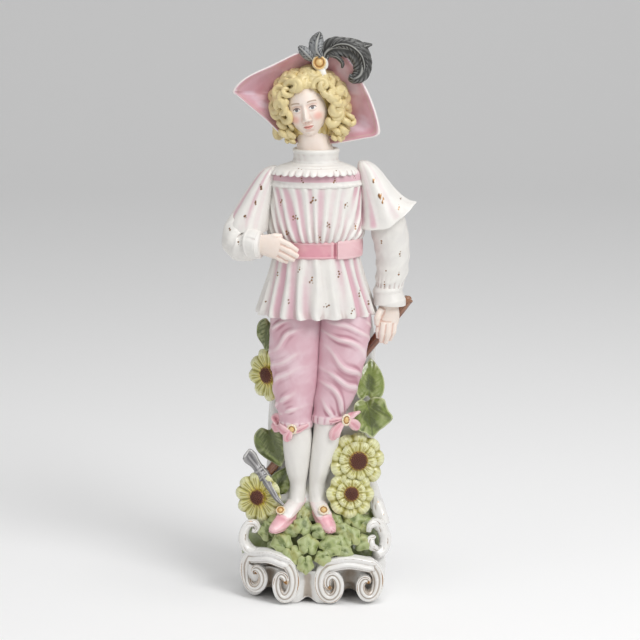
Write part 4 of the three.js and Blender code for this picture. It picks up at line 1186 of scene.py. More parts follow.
for k, (place, own) in enumerate(flowers.items()):
    rings = [petalRing(own, own["radius"], own["petals"], 0.4 * k, -0.8, 100 + 7 * k)]
    if own["inner"]:
        rings.append(petalRing(own, own["radius"] * own["inner"], own["petals"] + 1, 1.1 * k + 1.5, 1.3,
                               103 + 7 * k))
    shells = [shellOf(turnTo(grid, own["at"], own["facing"]), False, False) for grid, _ in rings]
    marksOf = {label: np.concatenate([flat(grid, m[label], 0) for grid, m in rings]) for label in rings[0][1]}
    piece("sunflower_" + place, shells, petalFinish, ["sunflower_" + place], marksOf, 0.5)
    # seeds sit on the golden-angle spiral, each a small boss on a dome
    count, disc = 90, own["disc"]
    seedR = disc * np.sqrt((np.arange(count) + 0.5) / count)
    seedA = np.arange(count) * goldenAngle
    ring = np.linspace(0, 2 * np.pi, 96, endpoint=False)
    s, x, y = dishPlaces(disc * np.stack([np.cos(ring), np.sin(ring)], -1), 44)
    across = x[..., None] - seedR * np.cos(seedA)
    along = y[..., None] - seedR * np.sin(seedA)
    bosses = 0.42 * np.exp(-np.min(across ** 2 + along ** 2, axis=-1) / 0.12)
    dome = (2.2 if own["inner"] else 0.9) + 1.5 * (1 - s ** 2) + bosses
    grid = turnTo(dishSkin(x, y, dome, 2.0 * (1 - s ** 8) + 0.02), own["at"], own["facing"])
    patches = 0.35 * drift(140 + k, grid[..., 0] * 2, grid[..., 2] * 2)
    piece("seedDisc_" + place, [shellOf(grid, False, False)], seedFinish,
          ["seed_disc_" + place], {"pollen": flat(grid, ease(bothSides(s), 0.55, 1.0) + patches, 0)},
          reach=0.25)

# the darkest green of each look is laid over the leaves in shadow as painted shade, and also darkens each
# leaf towards its centre
leafLook = {
    "body": (0.17, 0.22, 0.045), "cloud": (0.27, 0.33, 0.09), "cloudScale": 110.0,
    "shade": (0.06, 0.075, 0.02), "dirtAndShade": 0.55, "dirtAndShadeAt": 0.35, "wearAndHighlight": 0.45, "ridge": (0.50, 0.54, 0.28),
    "rough": 0.26, "coat": 0.4, "ragged": 0.5,
    "marks": {
        "edge": ((0.60, 0.63, 0.40), 0.4, 0.95, 0.7), "vein": ((0.36, 0.42, 0.14), 0.35, 0.9, 0.35),
        "dark": ((0.06, 0.075, 0.02), 0.25, 0.9, 0.75),
    },
}
ivyLook = {
    "body": (0.29, 0.35, 0.12), "cloud": (0.38, 0.44, 0.19), "cloudScale": 150.0,
    "shade": (0.08, 0.11, 0.025), "dirtAndShade": 0.85, "dirtAndShadeAt": 0.3, "wearAndHighlight": 0.5, "ridge": (0.50, 0.55, 0.30),
    "rough": 0.42, "coat": 0.1, "ragged": 0.3,
    "marks": {
        "edge": ((0.50, 0.54, 0.26), 0.45, 1.0, 0.6), "dark": ((0.09, 0.125, 0.03), 0.25, 1.0, 0.8),
        "warm": ((0.42, 0.40, 0.12), 0.55, 1.0, 0.6),
    },
}
leafFinish = porcelain("leafGreen", leafLook)
ivyFinish = porcelain("ivyGreen", ivyLook)
leafDefaults = {
    "cols": 126, "rows": 32, "wave": 1.0, "puff": 0.5, "vein": 0.25, "fold": 0.25, "droop": 1.2,
    "thick": 1.8,
}
leafShapes = {
    "broad": [
        (0, 1.12), (-0.34, 0.86), (-0.78, 0.42), (-1.0, -0.1), (-0.86, -0.62), (-0.4, -0.86), (0, -0.66),
        (0.4, -0.86), (0.86, -0.62), (1.0, -0.1), (0.78, 0.42), (0.34, 0.86),
    ],
    "ivy": [
        (0, 1.04), (-0.36, 0.78), (-0.64, 0.62), (-1.0, 0.3), (-0.84, -0.12), (-0.72, -0.62),
        (-0.34, -0.8), (0, -0.66), (0.34, -0.8), (0.72, -0.62), (0.84, -0.12), (1.0, 0.3), (0.64, 0.62),
        (0.36, 0.78),
    ],
}


def leafPiece(name, shape, own, finish, nodes, seed):
    # a dish with a leaf's outline, folded along its midrib, with a rib in the middle, side veins that
    # leave it slanting, puffed skin between them, and a waved edge
    own = dict(leafDefaults, **own)
    outline = spline(leafShapes[shape], np.linspace(0, 1, own["cols"], endpoint=False), True)
    outline = outline * (own["width"], own["length"])
    size = min(own["width"], own["length"])
    s, x, y = dishPlaces(outline, own["rows"])
    a = np.linspace(0, 2 * np.pi, own["cols"], endpoint=False)
    rib = bump(x / size, 0, 0.07)
    if shape == "ivy":
        ray = np.arctan2(x, y + 0.5 * own["length"])
        side = sum(bump(ray, k, 0.09) for k in (-1.5, -0.8, 0.8, 1.5))
    else:
        side = bump(np.abs(((y - 0.75 * np.abs(x)) / size * 2.6) % 1 - 0.5), 0, 0.12)
    wave = own["wave"] * drift(seed, np.cos(a) * 2, np.sin(a) * 2) * ease(s, 0.45, 1)
    puff = own["puff"] * (1 - side * own["vein"]) * bump(np.abs(x) / size, 0.45, 0.3) * ease(s, 1.0, 0.7)
    sign = -1 if shape == "ivy" else 1
    raised = 0.5 * rib * (1 - s) + 0.2 * side * ease(s, 0.1, 0.3) * (1 - s)
    face = (own["fold"] * np.abs(x) + sign * own["vein"] * raised
            + puff + wave - own["droop"] * s ** 3 - 0.03 * own["droop"] * y)
    grid = dishSkin(x, y, face, own["thick"] * (1 - s ** 7) + 0.05)
    grid = turnTo(grid, own["at"], own["facing"], own["up"])
    # each leaf's own darkness is painted shade for the leaves that lie in shadow, on the left and tucked in
    # among the others; over it the leaf darkens towards its centre and in random patches
    dark = bothSides(own["dark"] + 0.7 * bump(x / size, 0, 0.45) * ease(s, 0.9, 0.2))
    piece(name, [shellOf(grid, False, False)], finish, nodes, {
        "edge": flat(grid, bothSides(ease(s, 0.8, 1.0)), 0),
        "vein": flat(grid, bothSides(0.8 * np.maximum(rib, side) * ease(s, 1.0, 0.75)), 0),
        "dark": flat(grid, dark + 0.6 * drift(seed + 40, grid[..., 0] / 3, grid[..., 2] / 3), 0),
        "warm": flat(grid, 0.55 + 0.8 * drift(seed + 60, grid[..., 0] / 4, grid[..., 2] / 4), 0),
    }, reach=0.5)


# each leaf's darkness is painted shade, greatest for the leaves on the left
leaves = {
    "upper_left": {
        "at": (-29.6, 4, 150), "facing": (-0.5, -1, 0.1), "up": (-0.15, 0, -1), "length": 9.6,
        "width": 7.0, "dark": 0.9,
    },
    "middle_left": {
        "at": (-26.8, 2.4, 86), "facing": (-0.3, -1, 0.1), "up": (0.35, 0, -1), "length": 12.4,
        "width": 10.4, "dark": 0.85,
    },
    "lower_left": {
        "at": (-22.6, 0.6, 64), "facing": (-0.2, -1, 0.2), "up": (0.5, 0, 1), "length": 9, "width": 6.4,
        "dark": 0.4,
    },
    "upper_right": {
        "at": (28.4, 2, 122), "facing": (0.5, -1, 0.1), "up": (0.2, 0, 1), "length": 12, "width": 9.4,
        "dark": 0.15,
    },
    "middle_right": {
        "at": (28.4, -1.6, 103.6), "facing": (0.3, -1, 0.2), "up": (0.12, 0, -1), "length": 12.4,
        "width": 12.4, "fold": 0.4, "dark": 0.3, "wave": 1.6, "shape": "ivy",
    },
}
for k, (place, own) in enumerate(leaves.items()):
    leafPiece("leaf_" + place, own.get("shape", "broad"), own, leafFinish,
              ["leaf_" + place], 150 + k)

# each ivy leaf: middle (x, y, z), the way its tip points in x and z, half size, darkness; the darkness is
# painted shade, greatest for the leaves on the left and those tucked in among the others
ivy = [
    ((-21.6, -23.4, 35.2), (-0.6, 1), 6.4, 0.1), ((-6.4, -26.6, 34.6), (0.1, 1), 6.4, 0.0),
    ((5.6, -27, 34.4), (0.9, 0.5), 6.8, 0.15), ((17.2, -21.6, 38.2), (-0.3, 1), 6.6, 0.0),
    ((-9.4, -19.4, 43.4), (0.4, 1), 5.8, 0.0), ((-29.8, -15.4, 39.6), (-0.4, 1), 6.2, 0.65),
    ((-15.4, -28.4, 29.6), (0.5, -1), 5.8, 0.2), ((-8.0, -32.6, 24.4), (0.1, -1), 5.6, 0.1),
    ((18.6, -13.4, 45.8), (0.3, 1), 6.2, 0.15), ((8.2, -14, 46), (-0.5, 1), 5.4, 0.35),
    ((-10.2, -11.6, 48.8), (0.2, 1), 5.0, 0.2), ((23.6, -20.4, 34.6), (0.7, 0.3), 5.8, 0.1),
    ((-0.8, -21.4, 41.8), (0.9, 0.2), 5.0, 0.5), ((10.8, -24.6, 35.6), (0.2, -1), 5.6, 0.3),
    ((-25.4, -20.4, 31), (-1, -0.6), 5.4, 0.55), ((-16.6, -18.4, 41.6), (-1, 0.3), 5.4, 0.45),
    ((25.4, -12.4, 43), (1, 0.6), 5.6, 0.2), ((11.4, -19, 41.6), (-1, -0.2), 5.0, 0.4),
    ((-2.6, -8, 50), (0, 1), 4.8, 0.5), ((-24.4, -12.4, 44.6), (-0.3, 1), 5.4, 0.6),
    ((1.6, -31, 28.8), (-0.9, -0.3), 4.8, 0.35), ((14, -27.4, 31), (0.8, -0.2), 4.6, 0.35),
]
for k, (at, tip, size, dark) in enumerate(ivy):
    own = {"at": at, "facing": (0.12 * math.sin(k * 2.1), -0.85, 0.55 if at[2] > 27 else 0.1),
           "up": (tip[0], 0.4 * tip[1], tip[1]), "length": size * 1.1,
           "width": size * (1.02 + 0.12 * math.sin(k * 3.3)), "thick": 2.4, "fold": -0.14, "wave": 1.0,
           "droop": 1.8, "puff": 0.55, "vein": 0.1, "dark": dark, "cols": 84, "rows": 24}
    leafPiece(f"ivyLeaf_{k + 1}", "ivy", own, ivyFinish,
              [f"ivy_leaf_{k + 1}"] if k < 5 else [], 170 + k)
print("flowers and leaves")

head = {
    "middle": (-7.2, -3.6, 280), "tilt": 0.2, "turn": 0.1, "half": (12.0, 13.6, 17.0), "eyeX": 4.5,
    "eyeZ": 0.4, "eyeHalf": (2.15, 1.0), "browZ": 3.5, "noseZ": -6.2, "mouthZ": -10.0, "mouthHalf": 2.9,
}
rows, cols = 210, 216
t = np.linspace(0.004, 0.996, rows)[:, None] * np.ones((1, cols))
spread = np.linspace(-np.pi, np.pi, cols, endpoint=False)
angle = np.ones((rows, 1)) * (spread - 0.45 * np.sin(spread))[None]
lat = (t - 0.5) * np.pi
x = head["half"][0] * np.cos(lat) * np.sin(angle)
y = -head["half"][1] * np.cos(lat) * np.cos(angle)
z = head["half"][2] * np.sin(lat)
x *= 1 - 0.14 * ease(-z, 5, 15)
facing = ease(np.cos(angle), 0.0, 0.6)
ax = np.abs(x)
eyeX, eyeZ = head["eyeX"], head["eyeZ"]
lidHeight = head["eyeHalf"][1] * np.clip(1 - ((ax - eyeX) / head["eyeHalf"][0]) ** 2, 0, 1)
noseT = ease(z, 2.4, head["noseZ"] + 0.6)
mouthShape = np.clip(1 - (x / head["mouthHalf"]) ** 2, 0, 1)
mouthZ = head["mouthZ"] + 0.22 * (x / head["mouthHalf"]) ** 2
forward = (
    # the nose: a ridge that grows towards its tip and ends short, with a wing on each side
    (0.5 + 2.9 * noseT ** 1.5) * np.exp(-(x / (1.15 + 0.55 * noseT)) ** 2)
    * ease(z, 4.0, 1.2) * ease(z, -7.3, -6.0)
    + 1.0 * bump(ax, 1.75, 0.75) * bump(z, head["noseZ"] - 0.1, 0.85)
    # sockets, eyeballs, lids and brows
    - 1.5 * bump(ax, eyeX - 0.3, 3.0) * bump(z, eyeZ + 0.8, 2.3)
    + 1.15 * bump(ax, eyeX, 2.1) * bump(z, eyeZ, 1.35)
    + 0.32 * bump(z, eyeZ + lidHeight + 0.25, 0.3) * ease(2.7 - np.abs(ax - eyeX), 0, 0.8)
    + 0.2 * bump(z, eyeZ - lidHeight - 0.25, 0.3) * ease(2.5 - np.abs(ax - eyeX), 0, 0.8)
    + 0.5 * bump(z, head["browZ"], 1.1) * bump(ax, 4.4, 3.4)
    # cheeks, lips with the line between them, the hollow under them, and the chin
    + 0.8 * bump(ax, 6.2, 3.2) * bump(z, -4.6, 3.4)
    + 0.95 * bump(z, mouthZ + 0.75, 0.62) * mouthShape
    + 1.05 * bump(z, mouthZ - 0.85, 0.72) * mouthShape ** 0.8
    - 0.6 * bump(z, mouthZ, 0.24) * mouthShape ** 0.4 + 0.7 * bump(z, -9.6, 2.6) * bump(x, 0, 3.6)
    - 0.25 * bump(x, 0, 0.45) * bump(z, -8.2, 0.7) - 0.5 * bump(x, 0, 2.4) * bump(z, -12.4, 0.9)
    + 1.5 * bump(x, 0, 3.0) * bump(z, -14.6, 2.2))
y = y - forward * facing
turn, tilt = head["turn"], head["tilt"]
x2, y2 = x * math.cos(turn) + y * math.sin(turn), y * math.cos(turn) - x * math.sin(turn)
grid = np.stack([head["middle"][0] + x2 * math.cos(tilt) - z * math.sin(tilt), head["middle"][1] + y2,
                 head["middle"][2] + z * math.cos(tilt) + x2 * math.sin(tilt)], -1)
eye = np.where(np.abs(ax - eyeX) < head["eyeHalf"][0], 0.5 + (lidHeight - np.abs(z - eyeZ)) * 1.6, 0.0)
lookX, lookZ = ax - eyeX, z - eyeZ - 0.1
lash = ((1 - np.abs(z - eyeZ - lidHeight) / 0.5) * ease(2.6 - np.abs(lookX), 0, 0.3)
        * ease(lidHeight, -0.01, 0.02))
browLine = head["browZ"] + 0.55 * (1 - ((ax - 4.6) / 3.0) ** 2)
lips = np.where(z > mouthZ, 1.15 * mouthShape * (1 - 0.22 * bump(x, 0, 0.55)) - (z - mouthZ),
                1.35 * mouthShape - (mouthZ - z))
paints = {
    "blush": 0.95 * bump(ax, 6.4, 2.7) * bump(z, -4.8, 2.5) * ease(-y, 4, 9), "eyeWhite": eye,
    "iris": np.minimum(eye, 0.5 + (1.0 - np.hypot(lookX, lookZ)) * 1.6),
    "pupil": np.minimum(eye, 0.5 + (0.52 - np.hypot(lookX, lookZ)) * 1.6), "lash": lash,
    "lowerLash": 0.6 * (1 - np.abs(z - eyeZ + lidHeight) / 0.4) * ease(2.3 - np.abs(lookX), 0, 0.3),
    "lidLine": (1 - np.abs(z - eyeZ - lidHeight - 0.75) / 0.45) * ease(2.4 - np.abs(lookX), 0, 0.6),
    "brow": (1 - np.abs(z - browLine) / 0.62) * ease(2.9 - np.abs(ax - 4.6), 0, 0.8),
    "lip": np.where(np.abs(x) < 3.2, 0.5 + lips, 0.0),
    "lipLine": (1 - np.abs(z - mouthZ) / 0.32) * ease(mouthShape, 0.05, 0.3),
    "nostril": 1 - np.hypot((ax - 0.95) / 0.6, (z + 7.25) / 0.4) * 0.5,
}
paints = {
    label: flat(grid, np.clip(np.where(facing > 0.02, value, 0), 0, 1)) for label, value in paints.items()
}
faceLook = dict(skinLook, ragged=0.03, wearAndHighlight=0.15, dirtAndShade=0.35, marks={
    "blush": ((0.82, 0.36, 0.28), 0.0, 1.0, 0.75), "eyeWhite": ((0.84, 0.84, 0.83), 0.42, 0.58, 1.0),
    "iris": ((0.07, 0.09, 0.11), 0.42, 0.58, 1.0), "pupil": ((0.01, 0.01, 0.012), 0.42, 0.58, 1.0),
    "lowerLash": ((0.35, 0.20, 0.13), 0.2, 0.7, 0.7), "lash": ((0.04, 0.025, 0.02), 0.15, 0.6, 1.0),
    "lidLine": ((0.45, 0.26, 0.19), 0.3, 0.9, 0.6), "brow": ((0.28, 0.16, 0.08), 0.1, 0.7, 0.85),
    "lip": ((0.74, 0.26, 0.22), 0.42, 0.62, 0.85), "lipLine": ((0.45, 0.11, 0.10), 0.2, 0.8, 0.8),
    "nostril": ((0.55, 0.22, 0.16), 0.5, 0.8, 0.7)})
faceFinish = porcelain("faceBisque", faceLook)
neck = {
    "grid": (50, 120),
    "ovals": [
        (-2.5, -1.8, 253, 10.9, 9.7), (-2.8, -1.6, 257, 10.1, 9.2), (-3.8, -1.2, 262, 9.2, 8.8),
        (-4.8, -0.4, 268, 8.9, 8.7), (-5.4, 0.6, 274, 8.6, 8.6),
    ],
}
t, angle = sheetOf(*neck["grid"])
# two cords run down the neck to the hollow between them
cords = (0.3 * bump(np.abs(angle), 0.5 + 0.4 * t, 0.3) * ease(t, 0.9, 0.5)
         - 0.35 * bump(angle, 0, 0.3) * bump(t, 0.15, 0.15))
neckGrid = stackSkin(neck["ovals"], t, angle, cords)
noPaint = np.zeros(neckGrid[..., 0].size + 2)
headPaints = {label: np.concatenate([values, noPaint]) for label, values in paints.items()}
piece("headAndNeck", [shellOf(grid), shellOf(neckGrid)], faceFinish, ["head"],
      headPaints, 0.35)
print("head")

hairLook = {
    "body": (0.60, 0.44, 0.15), "cloud": (0.68, 0.53, 0.23), "cloudScale": 160.0,
    "shade": (0.17, 0.11, 0.025), "dirtAndShade": 0.95, "dirtAndShadeAt": 0.3, "wearAndHighlight": 0.6, "ridgeAt": 0.45,
    "ridge": (0.78, 0.68, 0.40), "rough": 0.36, "coat": 0.1,
    "marks": {"umber": ((0.30, 0.20, 0.05), 0.45, 1.0, 0.75)}, "ragged": 0.5,
}
hairFinish = porcelain("blondHair", hairLook)
# rings: each ring of locks round the hairline, with its reach in x and in z, and its depth
hair = {
    "seed": 5, "curlSize": (2.5, 4.1), "thickness": (1.8, 2.7), "strands": 6, "strandDepth": 0.36,
    "middle": (-6.4, 280.6), "sweep": 2.15, "along": 22,
    "rings": ((13.5, 13.6, -12.8), (15.8, 16.6, -7.2), (17.6, 18.4, -0.5)),
    "nape": {
        "sweep": 1.5, "along": 12, "rows": 5, "lowest": 266, "step": 7.0, "size": (3.2, 4.4),
        "thickness": (1.9, 2.6),
    },
    "mass": [
        (-5.4, 2.6, 262, 9, 7), (-5.8, 2.6, 266, 15.6, 11.6), (-6.4, 2.4, 274, 17.0, 14.0),
        (-6.8, 2.0, 282, 17.2, 14.4), (-7.4, 1.0, 290, 15.6, 14.2), (-8, 0, 295.6, 12, 11.6),
        (-8.4, -0.4, 299, 6.5, 6.4), (-8.4, -0.4, 299.8, 1.5, 1.5),
    ],
}
hairDraw = np.random.default_rng(hair["seed"])


def lockShell(line, thick, rows, wide):
    # a lock along a line: thick in the middle, falling to both ends with the root of a sine, and strands
    # that run along it and twist slowly round it
    s = np.linspace(0, 1, len(line))
    radius = thick * (0.22 + 0.78 * np.sin(np.pi * np.clip(s * 0.86 + 0.1, 0, 1)) ** 0.6)
    t, angle = sheetOf(rows, 18)
    strands = ridges(angle * hair["strands"] + 5 * t, 0.1) - 0.7
    strands = hair["strandDepth"] * strands * ease(t, 0, 0.1) * ease(t, 1, 0.9)
    return shellOf(sweepSkin(np.column_stack([line, radius, radius * 0.9]), t, angle, wide, strands))


def snailCurl(hub, out, turn, size, thick, way):
    # a tousled lock: its radius shrinks from size to a half while it turns most of the way round, and it
    # rises along out towards its middle
    s = np.linspace(0, 1, 14)
    a = turn + way * s * 2 * np.pi * 0.82
    radius = size * (1 - 0.5 * s)
    local = np.stack([1.2 * radius * np.cos(a), radius * np.sin(a), 1.5 * np.sin(2.6 * s)], -1)
    return lockShell(turnTo(local, hub, out), thick, 32, out)


def ringlet(path, coil, turns, thick, phase):
    # a lock coiled round a hanging path: the path plus a circle square to it
    s = np.linspace(0, 1, 30)
    axis = spline(path, s)
    a = phase + s * 2 * np.pi * turns
    reach = coil * (0.5 + 0.5 * np.sin(np.pi * np.clip(s * 0.8 + 0.15, 0, 1)))
    line = axis + np.stack([reach * np.cos(a), reach * np.sin(a), 0 * a], -1)
    return lockShell(line, thick, 84, (0, 0, 1))


t, angle = sheetOf(90, 160)
groove = 0.6 * (ridges(angle * 22 + 3 * drift(201, angle * 2, t * 5)) - 0.6)
mass = stackSkin(hair["mass"], t, angle, groove + 0.7 * drift(202, angle * 4, t * 9))
shells = [shellOf(mass)]
hairX, hairZ = hair["middle"]
# curls crowd the hairline, from the jaw on one side over the forehead to the jaw on the other
for k in range(hair["along"]):
    turnBy = -hair["sweep"] + 2 * hair["sweep"] * k / (hair["along"] - 1)
    for ring, (reachX, reachZ, depth) in enumerate(hair["rings"]):
        wobble = hairDraw.uniform(-1, 1, 3)
        a = turnBy + 0.09 * (ring % 2) + 0.04 * wobble[0]
        grow = 1.0 + (0.14 if a > 0.9 else 0.0) + (0.05 if a < -0.9 else 0.0)
        parting = 3.4 if ring == 0 and abs(a) < 0.5 else 0
        hub = np.array([
            hairX + reachX * grow * math.sin(a) + 0.5 * wobble[1],
            depth + 2.2 * abs(math.sin(a)) + parting - 1.6 * (ring == 0) * math.cos(a),
            hairZ + reachZ * math.cos(a) * (1.0 if math.cos(a) > 0 else 0.86) + 0.5 * wobble[2]])
        out = unit(np.array([0.75 * math.sin(a), -1.15 + 0.45 * ring, 0.6 * math.cos(a) + 0.1]))
        turn = hairDraw.uniform(0, 6.28)
        size = hairDraw.uniform(*hair["curlSize"])
        thick = hairDraw.uniform(*hair["thickness"])
        shells.append(snailCurl(hub, out, turn, size, thick, 1 if hairDraw.uniform() > 0.5 else -1))
# each ringlet: its path, the radius of the coil, the turns, the thickness and the first angle
ringlets = [
    ([(-21.5, -6.4, 274), (-21, -7.4, 269), (-19.2, -8, 264.6), (-17, -7.6, 260.4)], 1.7, 2.6, 1.9, 0.4),
    ([(-19, -2.6, 273), (-18.6, -3, 268), (-16.4, -3.6, 263), (-14.6, -3.4, 259.8)], 1.8, 2.6, 2.0, 2.0),
    ([(-16.6, -9.6, 271), (-16.6, -9.6, 267), (-15.6, -9.2, 263.4), (-14.4, -8.4, 261)],
     1.3, 2.2, 1.6, 4.0),
    ([(12.6, -6.4, 276), (13.8, -7.4, 271), (12.6, -8, 266), (10.6, -7.8, 261.4)], 1.9, 2.8, 2.0, 1.0),
    ([(14.4, -3, 277), (16.8, -4, 273.4), (17.6, -4.4, 270.4), (18.6, -4.4, 273.6)], 1.4, 1.8, 1.7, 3.0),
    ([(9, -7.4, 272), (9.6, -8.4, 268), (8.8, -8.6, 264.4), (7.6, -8.2, 261.6)], 1.5, 2.3, 1.7, 5.0),
    ([(13, -1, 272), (13.6, -1.4, 268), (12, -2, 263.6), (10.4, -2, 260.4)], 1.8, 2.4, 2.0, 0.0),
]
shells += [ringlet(*own) for own in ringlets]
nape = hair["nape"]
for k in range(nape["along"]):
    for row in range(nape["rows"]):
        a = -nape["sweep"] + 2 * nape["sweep"] * k / (nape["along"] - 1) + 0.1 * (row % 2)
        height = nape["lowest"] + row * nape["step"]
        reach = 16.6 if row < 4 else 12.6
        depth = 2.2 + 13.6 * math.cos(a) * (1 if row < 4 else 0.75)
        hub = np.array((hairX + reach * math.sin(a), depth, height + hairDraw.uniform(-1, 1)))
        out = unit(np.array([math.sin(a), math.cos(a), 0.05 * row]))
        turn = hairDraw.uniform(0, 6.28)
        size = hairDraw.uniform(*nape["size"])
        thick = hairDraw.uniform(*nape["thickness"])
        shells.append(snailCurl(hub, out, turn, size, thick, 1 if k % 2 else -1))
# darker in random patches and, as painted shade, towards the back of the head; the creases between the locks
# get the finish's painted crease shade
curls = meshOf("curls", shells)
places = placesOf(curls)
umber = (0.5 + 0.55 * drift(203, places[:, 0] * 260, places[:, 2] * 260)
         + 0.25 * ease(places[:, 1], 0.0, 0.008))
piece("curls", curls, hairFinish, ["hair"], {"umber": umber}, reach=0.9)
print("hair")

hatLook = {
    "body": (0.66, 0.42, 0.48), "cloud": (0.56, 0.28, 0.33), "cloudScale": 70.0,
    "shade": (0.40, 0.19, 0.20), "dirtAndShade": 0.5, "wearAndHighlight": 0.5, "ridge": (0.84, 0.76, 0.74), "rough": 0.38,
    "ragged": 0.3,
    "marks": {
        # the dark mauve of the second mark is painted shade on the brim round the head
        "soft": ((0.72, 0.56, 0.64), 0.3, 0.9, 0.8), "paintedShade": ((0.52, 0.24, 0.25), 0.2, 0.9, 0.6),
        "rim": ((0.83, 0.79, 0.76), 0.35, 0.75, 0.95), "edgeLine": ((0.55, 0.42, 0.33), 0.45, 0.9, 0.5),
    },
}
hatFinish = porcelain("hatBisque", hatLook)
# rings: share of the way to the edge, and depth behind the middle plane
hat = {
    "middle": (-7, 285), "crown": 33.0,
    "outline": [
        (-48.4, 289), (-41, 296.4), (-26, 303.6), (-11, 310.6), (3, 313.4), (15, 308), (24.4, 293),
        (29.4, 282), (33, 270), (32.6, 264), (24, 261.8), (8, 259), (-8, 258), (-20, 263), (-31, 273),
        (-45, 285),
    ],
    "rings": [
        (0.01, 6), (0.5, 4.6), (0.72, 1.6), (0.86, -1.6), (0.92, -3.0), (0.955, -3.9), (0.985, -3.9),
        (1.0, -2.9), (0.995, -1.7), (0.965, -0.6), (0.9, 1.2), (0.78, 4.8), (0.64, 8.6), (0.585, 11),
        (0.57, 15), (0.52, 19), (0.4, 22), (0.2, 24), (0.01, 24.4),
    ],
}
cols = 300
rings = spline(hat["rings"], np.linspace(0, 1, 150))
edge = spline(hat["outline"], np.linspace(0, 1, cols, endpoint=False), True) - hat["middle"]
share = rings[:, :1] * np.ones((1, cols))
# behind the brim the outline gives way to a circle, for the crown
ringAngle = np.arctan2(edge[:, 1], edge[:, 0])
circle = hat["crown"] * np.stack([np.cos(ringAngle), np.sin(ringAngle)], -1)
rounding = ease(rings[:, 1:], 5, 12)[..., None] * (rings[:, :1, None] < 0.7)
edge = edge[None] * (1 - rounding) + circle[None] * rounding
turnBy = np.ones((150, 1)) * np.linspace(0, 2 * np.pi, cols, endpoint=False)[None]
depth = (rings[:, 1:] + 0.9 * share * drift(211, np.cos(turnBy) * 2, np.sin(turnBy) * 2)
         + 0.35 * drift(212, share * 5, turnBy))
band = 0.5 * bump(rings[:, :1], 0.575, 0.02) * ease(rings[:, 1:], 6, 9)
grid = np.stack([hat["middle"][0] + (share + band * 0.04) * edge[..., 0], depth,
                 hat["middle"][1] + (share + band * 0.04) * edge[..., 1]], -1)
frontSide = ease(-rings[:, 1:], -6.5, -4) * np.ones((1, cols))
piece("hatBrim", [shellOf(grid)], hatFinish, ["hat"],
      {"rim": flat(grid, np.maximum(ease(share, 0.955, 0.99),
                                    0.45 * (1 - frontSide) * ease(share, 0.5, 0.9))),
       # painted shade on the front face of the brim, close round the head
       "paintedShade": flat(grid, frontSide * bump(share, 0.52, 0.2)
                    * (0.8 + 0.4 * drift(213, turnBy * 2, share * 4))),
       "soft": flat(grid, bump(share, 0.78, 0.12)
                    * (0.6 + 0.6 * drift(214, np.cos(turnBy) * 4, np.sin(turnBy) * 4))),
       "edgeLine": flat(grid, bump(share, 0.93, 0.012))}, reach=1.0)

rosette("hatButton", (-0.4, -5.0, 304.6), (0, -1, 0.15), 4.1, "hat_button", 12, 1.05, 0.8, 0.004)
cockade = [
    [
        (-0.2, -4.8, 303, 1.2, 0.7), (0.6, -5.6, 300.4, 2.2, 0.8), (1.0, -6.4, 297.6, 2.6, 0.8),
        (1.2, -6.6, 295, 1.6, 0.5),
    ],
    [
        (0.4, -4.6, 307, 0.8, 0.6), (2.6, -4.9, 305.6, 1.3, 0.8), (3.2, -5, 303, 1.3, 0.8),
        (2.2, -5, 300.8, 0.8, 0.6),
    ],
]
t, angle = sheetOf(40, 28)
shells = [shellOf(sweepSkin(path, t, angle, (1, 0, 0.1), 0.12 * ridges(angle * 5, 0.2))) for path in cockade]
piece("hatRibbon", shells, stockingFinish, reach=0.4)

plumeLook = {
    "body": (0.016, 0.015, 0.014), "cloud": (0.045, 0.045, 0.042), "cloudScale": 110.0,
    "shade": (0.006, 0.006, 0.006), "dirtAndShade": 0.9, "dirtAndShadeAt": 0.3, "wearAndHighlight": 0.5, "ridgeAt": 1.0,
    "ridge": (0.26, 0.26, 0.25), "rough": 0.4, "coat": 0.08, "ragged": 0.3,
    "marks": {
        "grey": ((0.24, 0.25, 0.26), 0.35, 1.0, 0.85), "quill": ((0.50, 0.50, 0.46), 0.4, 0.95, 0.8),
    },
}
plumeFinish = porcelain("plumeBlack", plumeLook)
plume = {
    "plume_curl": {
        "path": [
            (2.0, -3.0, 305.4, 1.8, 2.2), (3.0, -3.2, 310.0, 2.6, 3.8), (7.0, -3.4, 313.0, 3.2, 5.4),
            (13.4, -3.4, 313.0, 3.5, 5.4), (20.2, -3.4, 310.8, 3.7, 6.0), (23.4, -3.6, 304.8, 3.7, 5.4),
            (22.6, -4, 298.6, 3.6, 4.8), (18.8, -4.6, 296.0, 3.2, 3.2), (16, -4.8, 297.0, 1.6, 1.6),
        ],
        "barbs": 17, "grey": 0.0, "slant": 2.8,
    },
    "plume_tuft": {
        "path": [
            (0.8, -4.4, 307.6, 1.6, 1.6), (-1.8, -4.2, 311.2, 2.6, 3.8), (-1.8, -3.0, 315.6, 2.6, 4.2),
            (-0.6, -1.6, 319.4, 1.6, 2.4), (-0.1, -0.8, 321.2, 0.5, 0.6),
        ],
        "barbs": 9, "grey": 0.8, "slant": 1.6,
    },
    "plume_side": {
        "path": [
            (-4.2, -4.0, 306.2, 1.4, 1.6), (-6.6, -4.8, 308.6, 2.1, 2.9), (-9.4, -5.0, 311.4, 1.9, 2.7),
            (-11.8, -4.4, 313.6, 0.6, 0.8),
        ],
        "barbs": 7, "grey": 0.9, "slant": 1.4,
    },
}
hook = [
    (5.6, -4.6, 308.6, 1.0, 0.9), (9.6, -5.0, 307.6, 1.4, 1.3), (12.4, -5.2, 304.4, 1.2, 1.1),
    (12.2, -5.2, 301.6, 0.6, 0.6),
]
layer = [
    (5.0, -5.4, 312.2, 0.9, 1.0), (10, -6.6, 315.0, 1.6, 2.2), (16.6, -6.8, 314.4, 1.7, 2.6),
    (22.6, -6.8, 309.4, 1.7, 2.4), (24.6, -6.6, 303, 1.6, 2.0), (23.6, -6.8, 299, 0.7, 0.8),
]
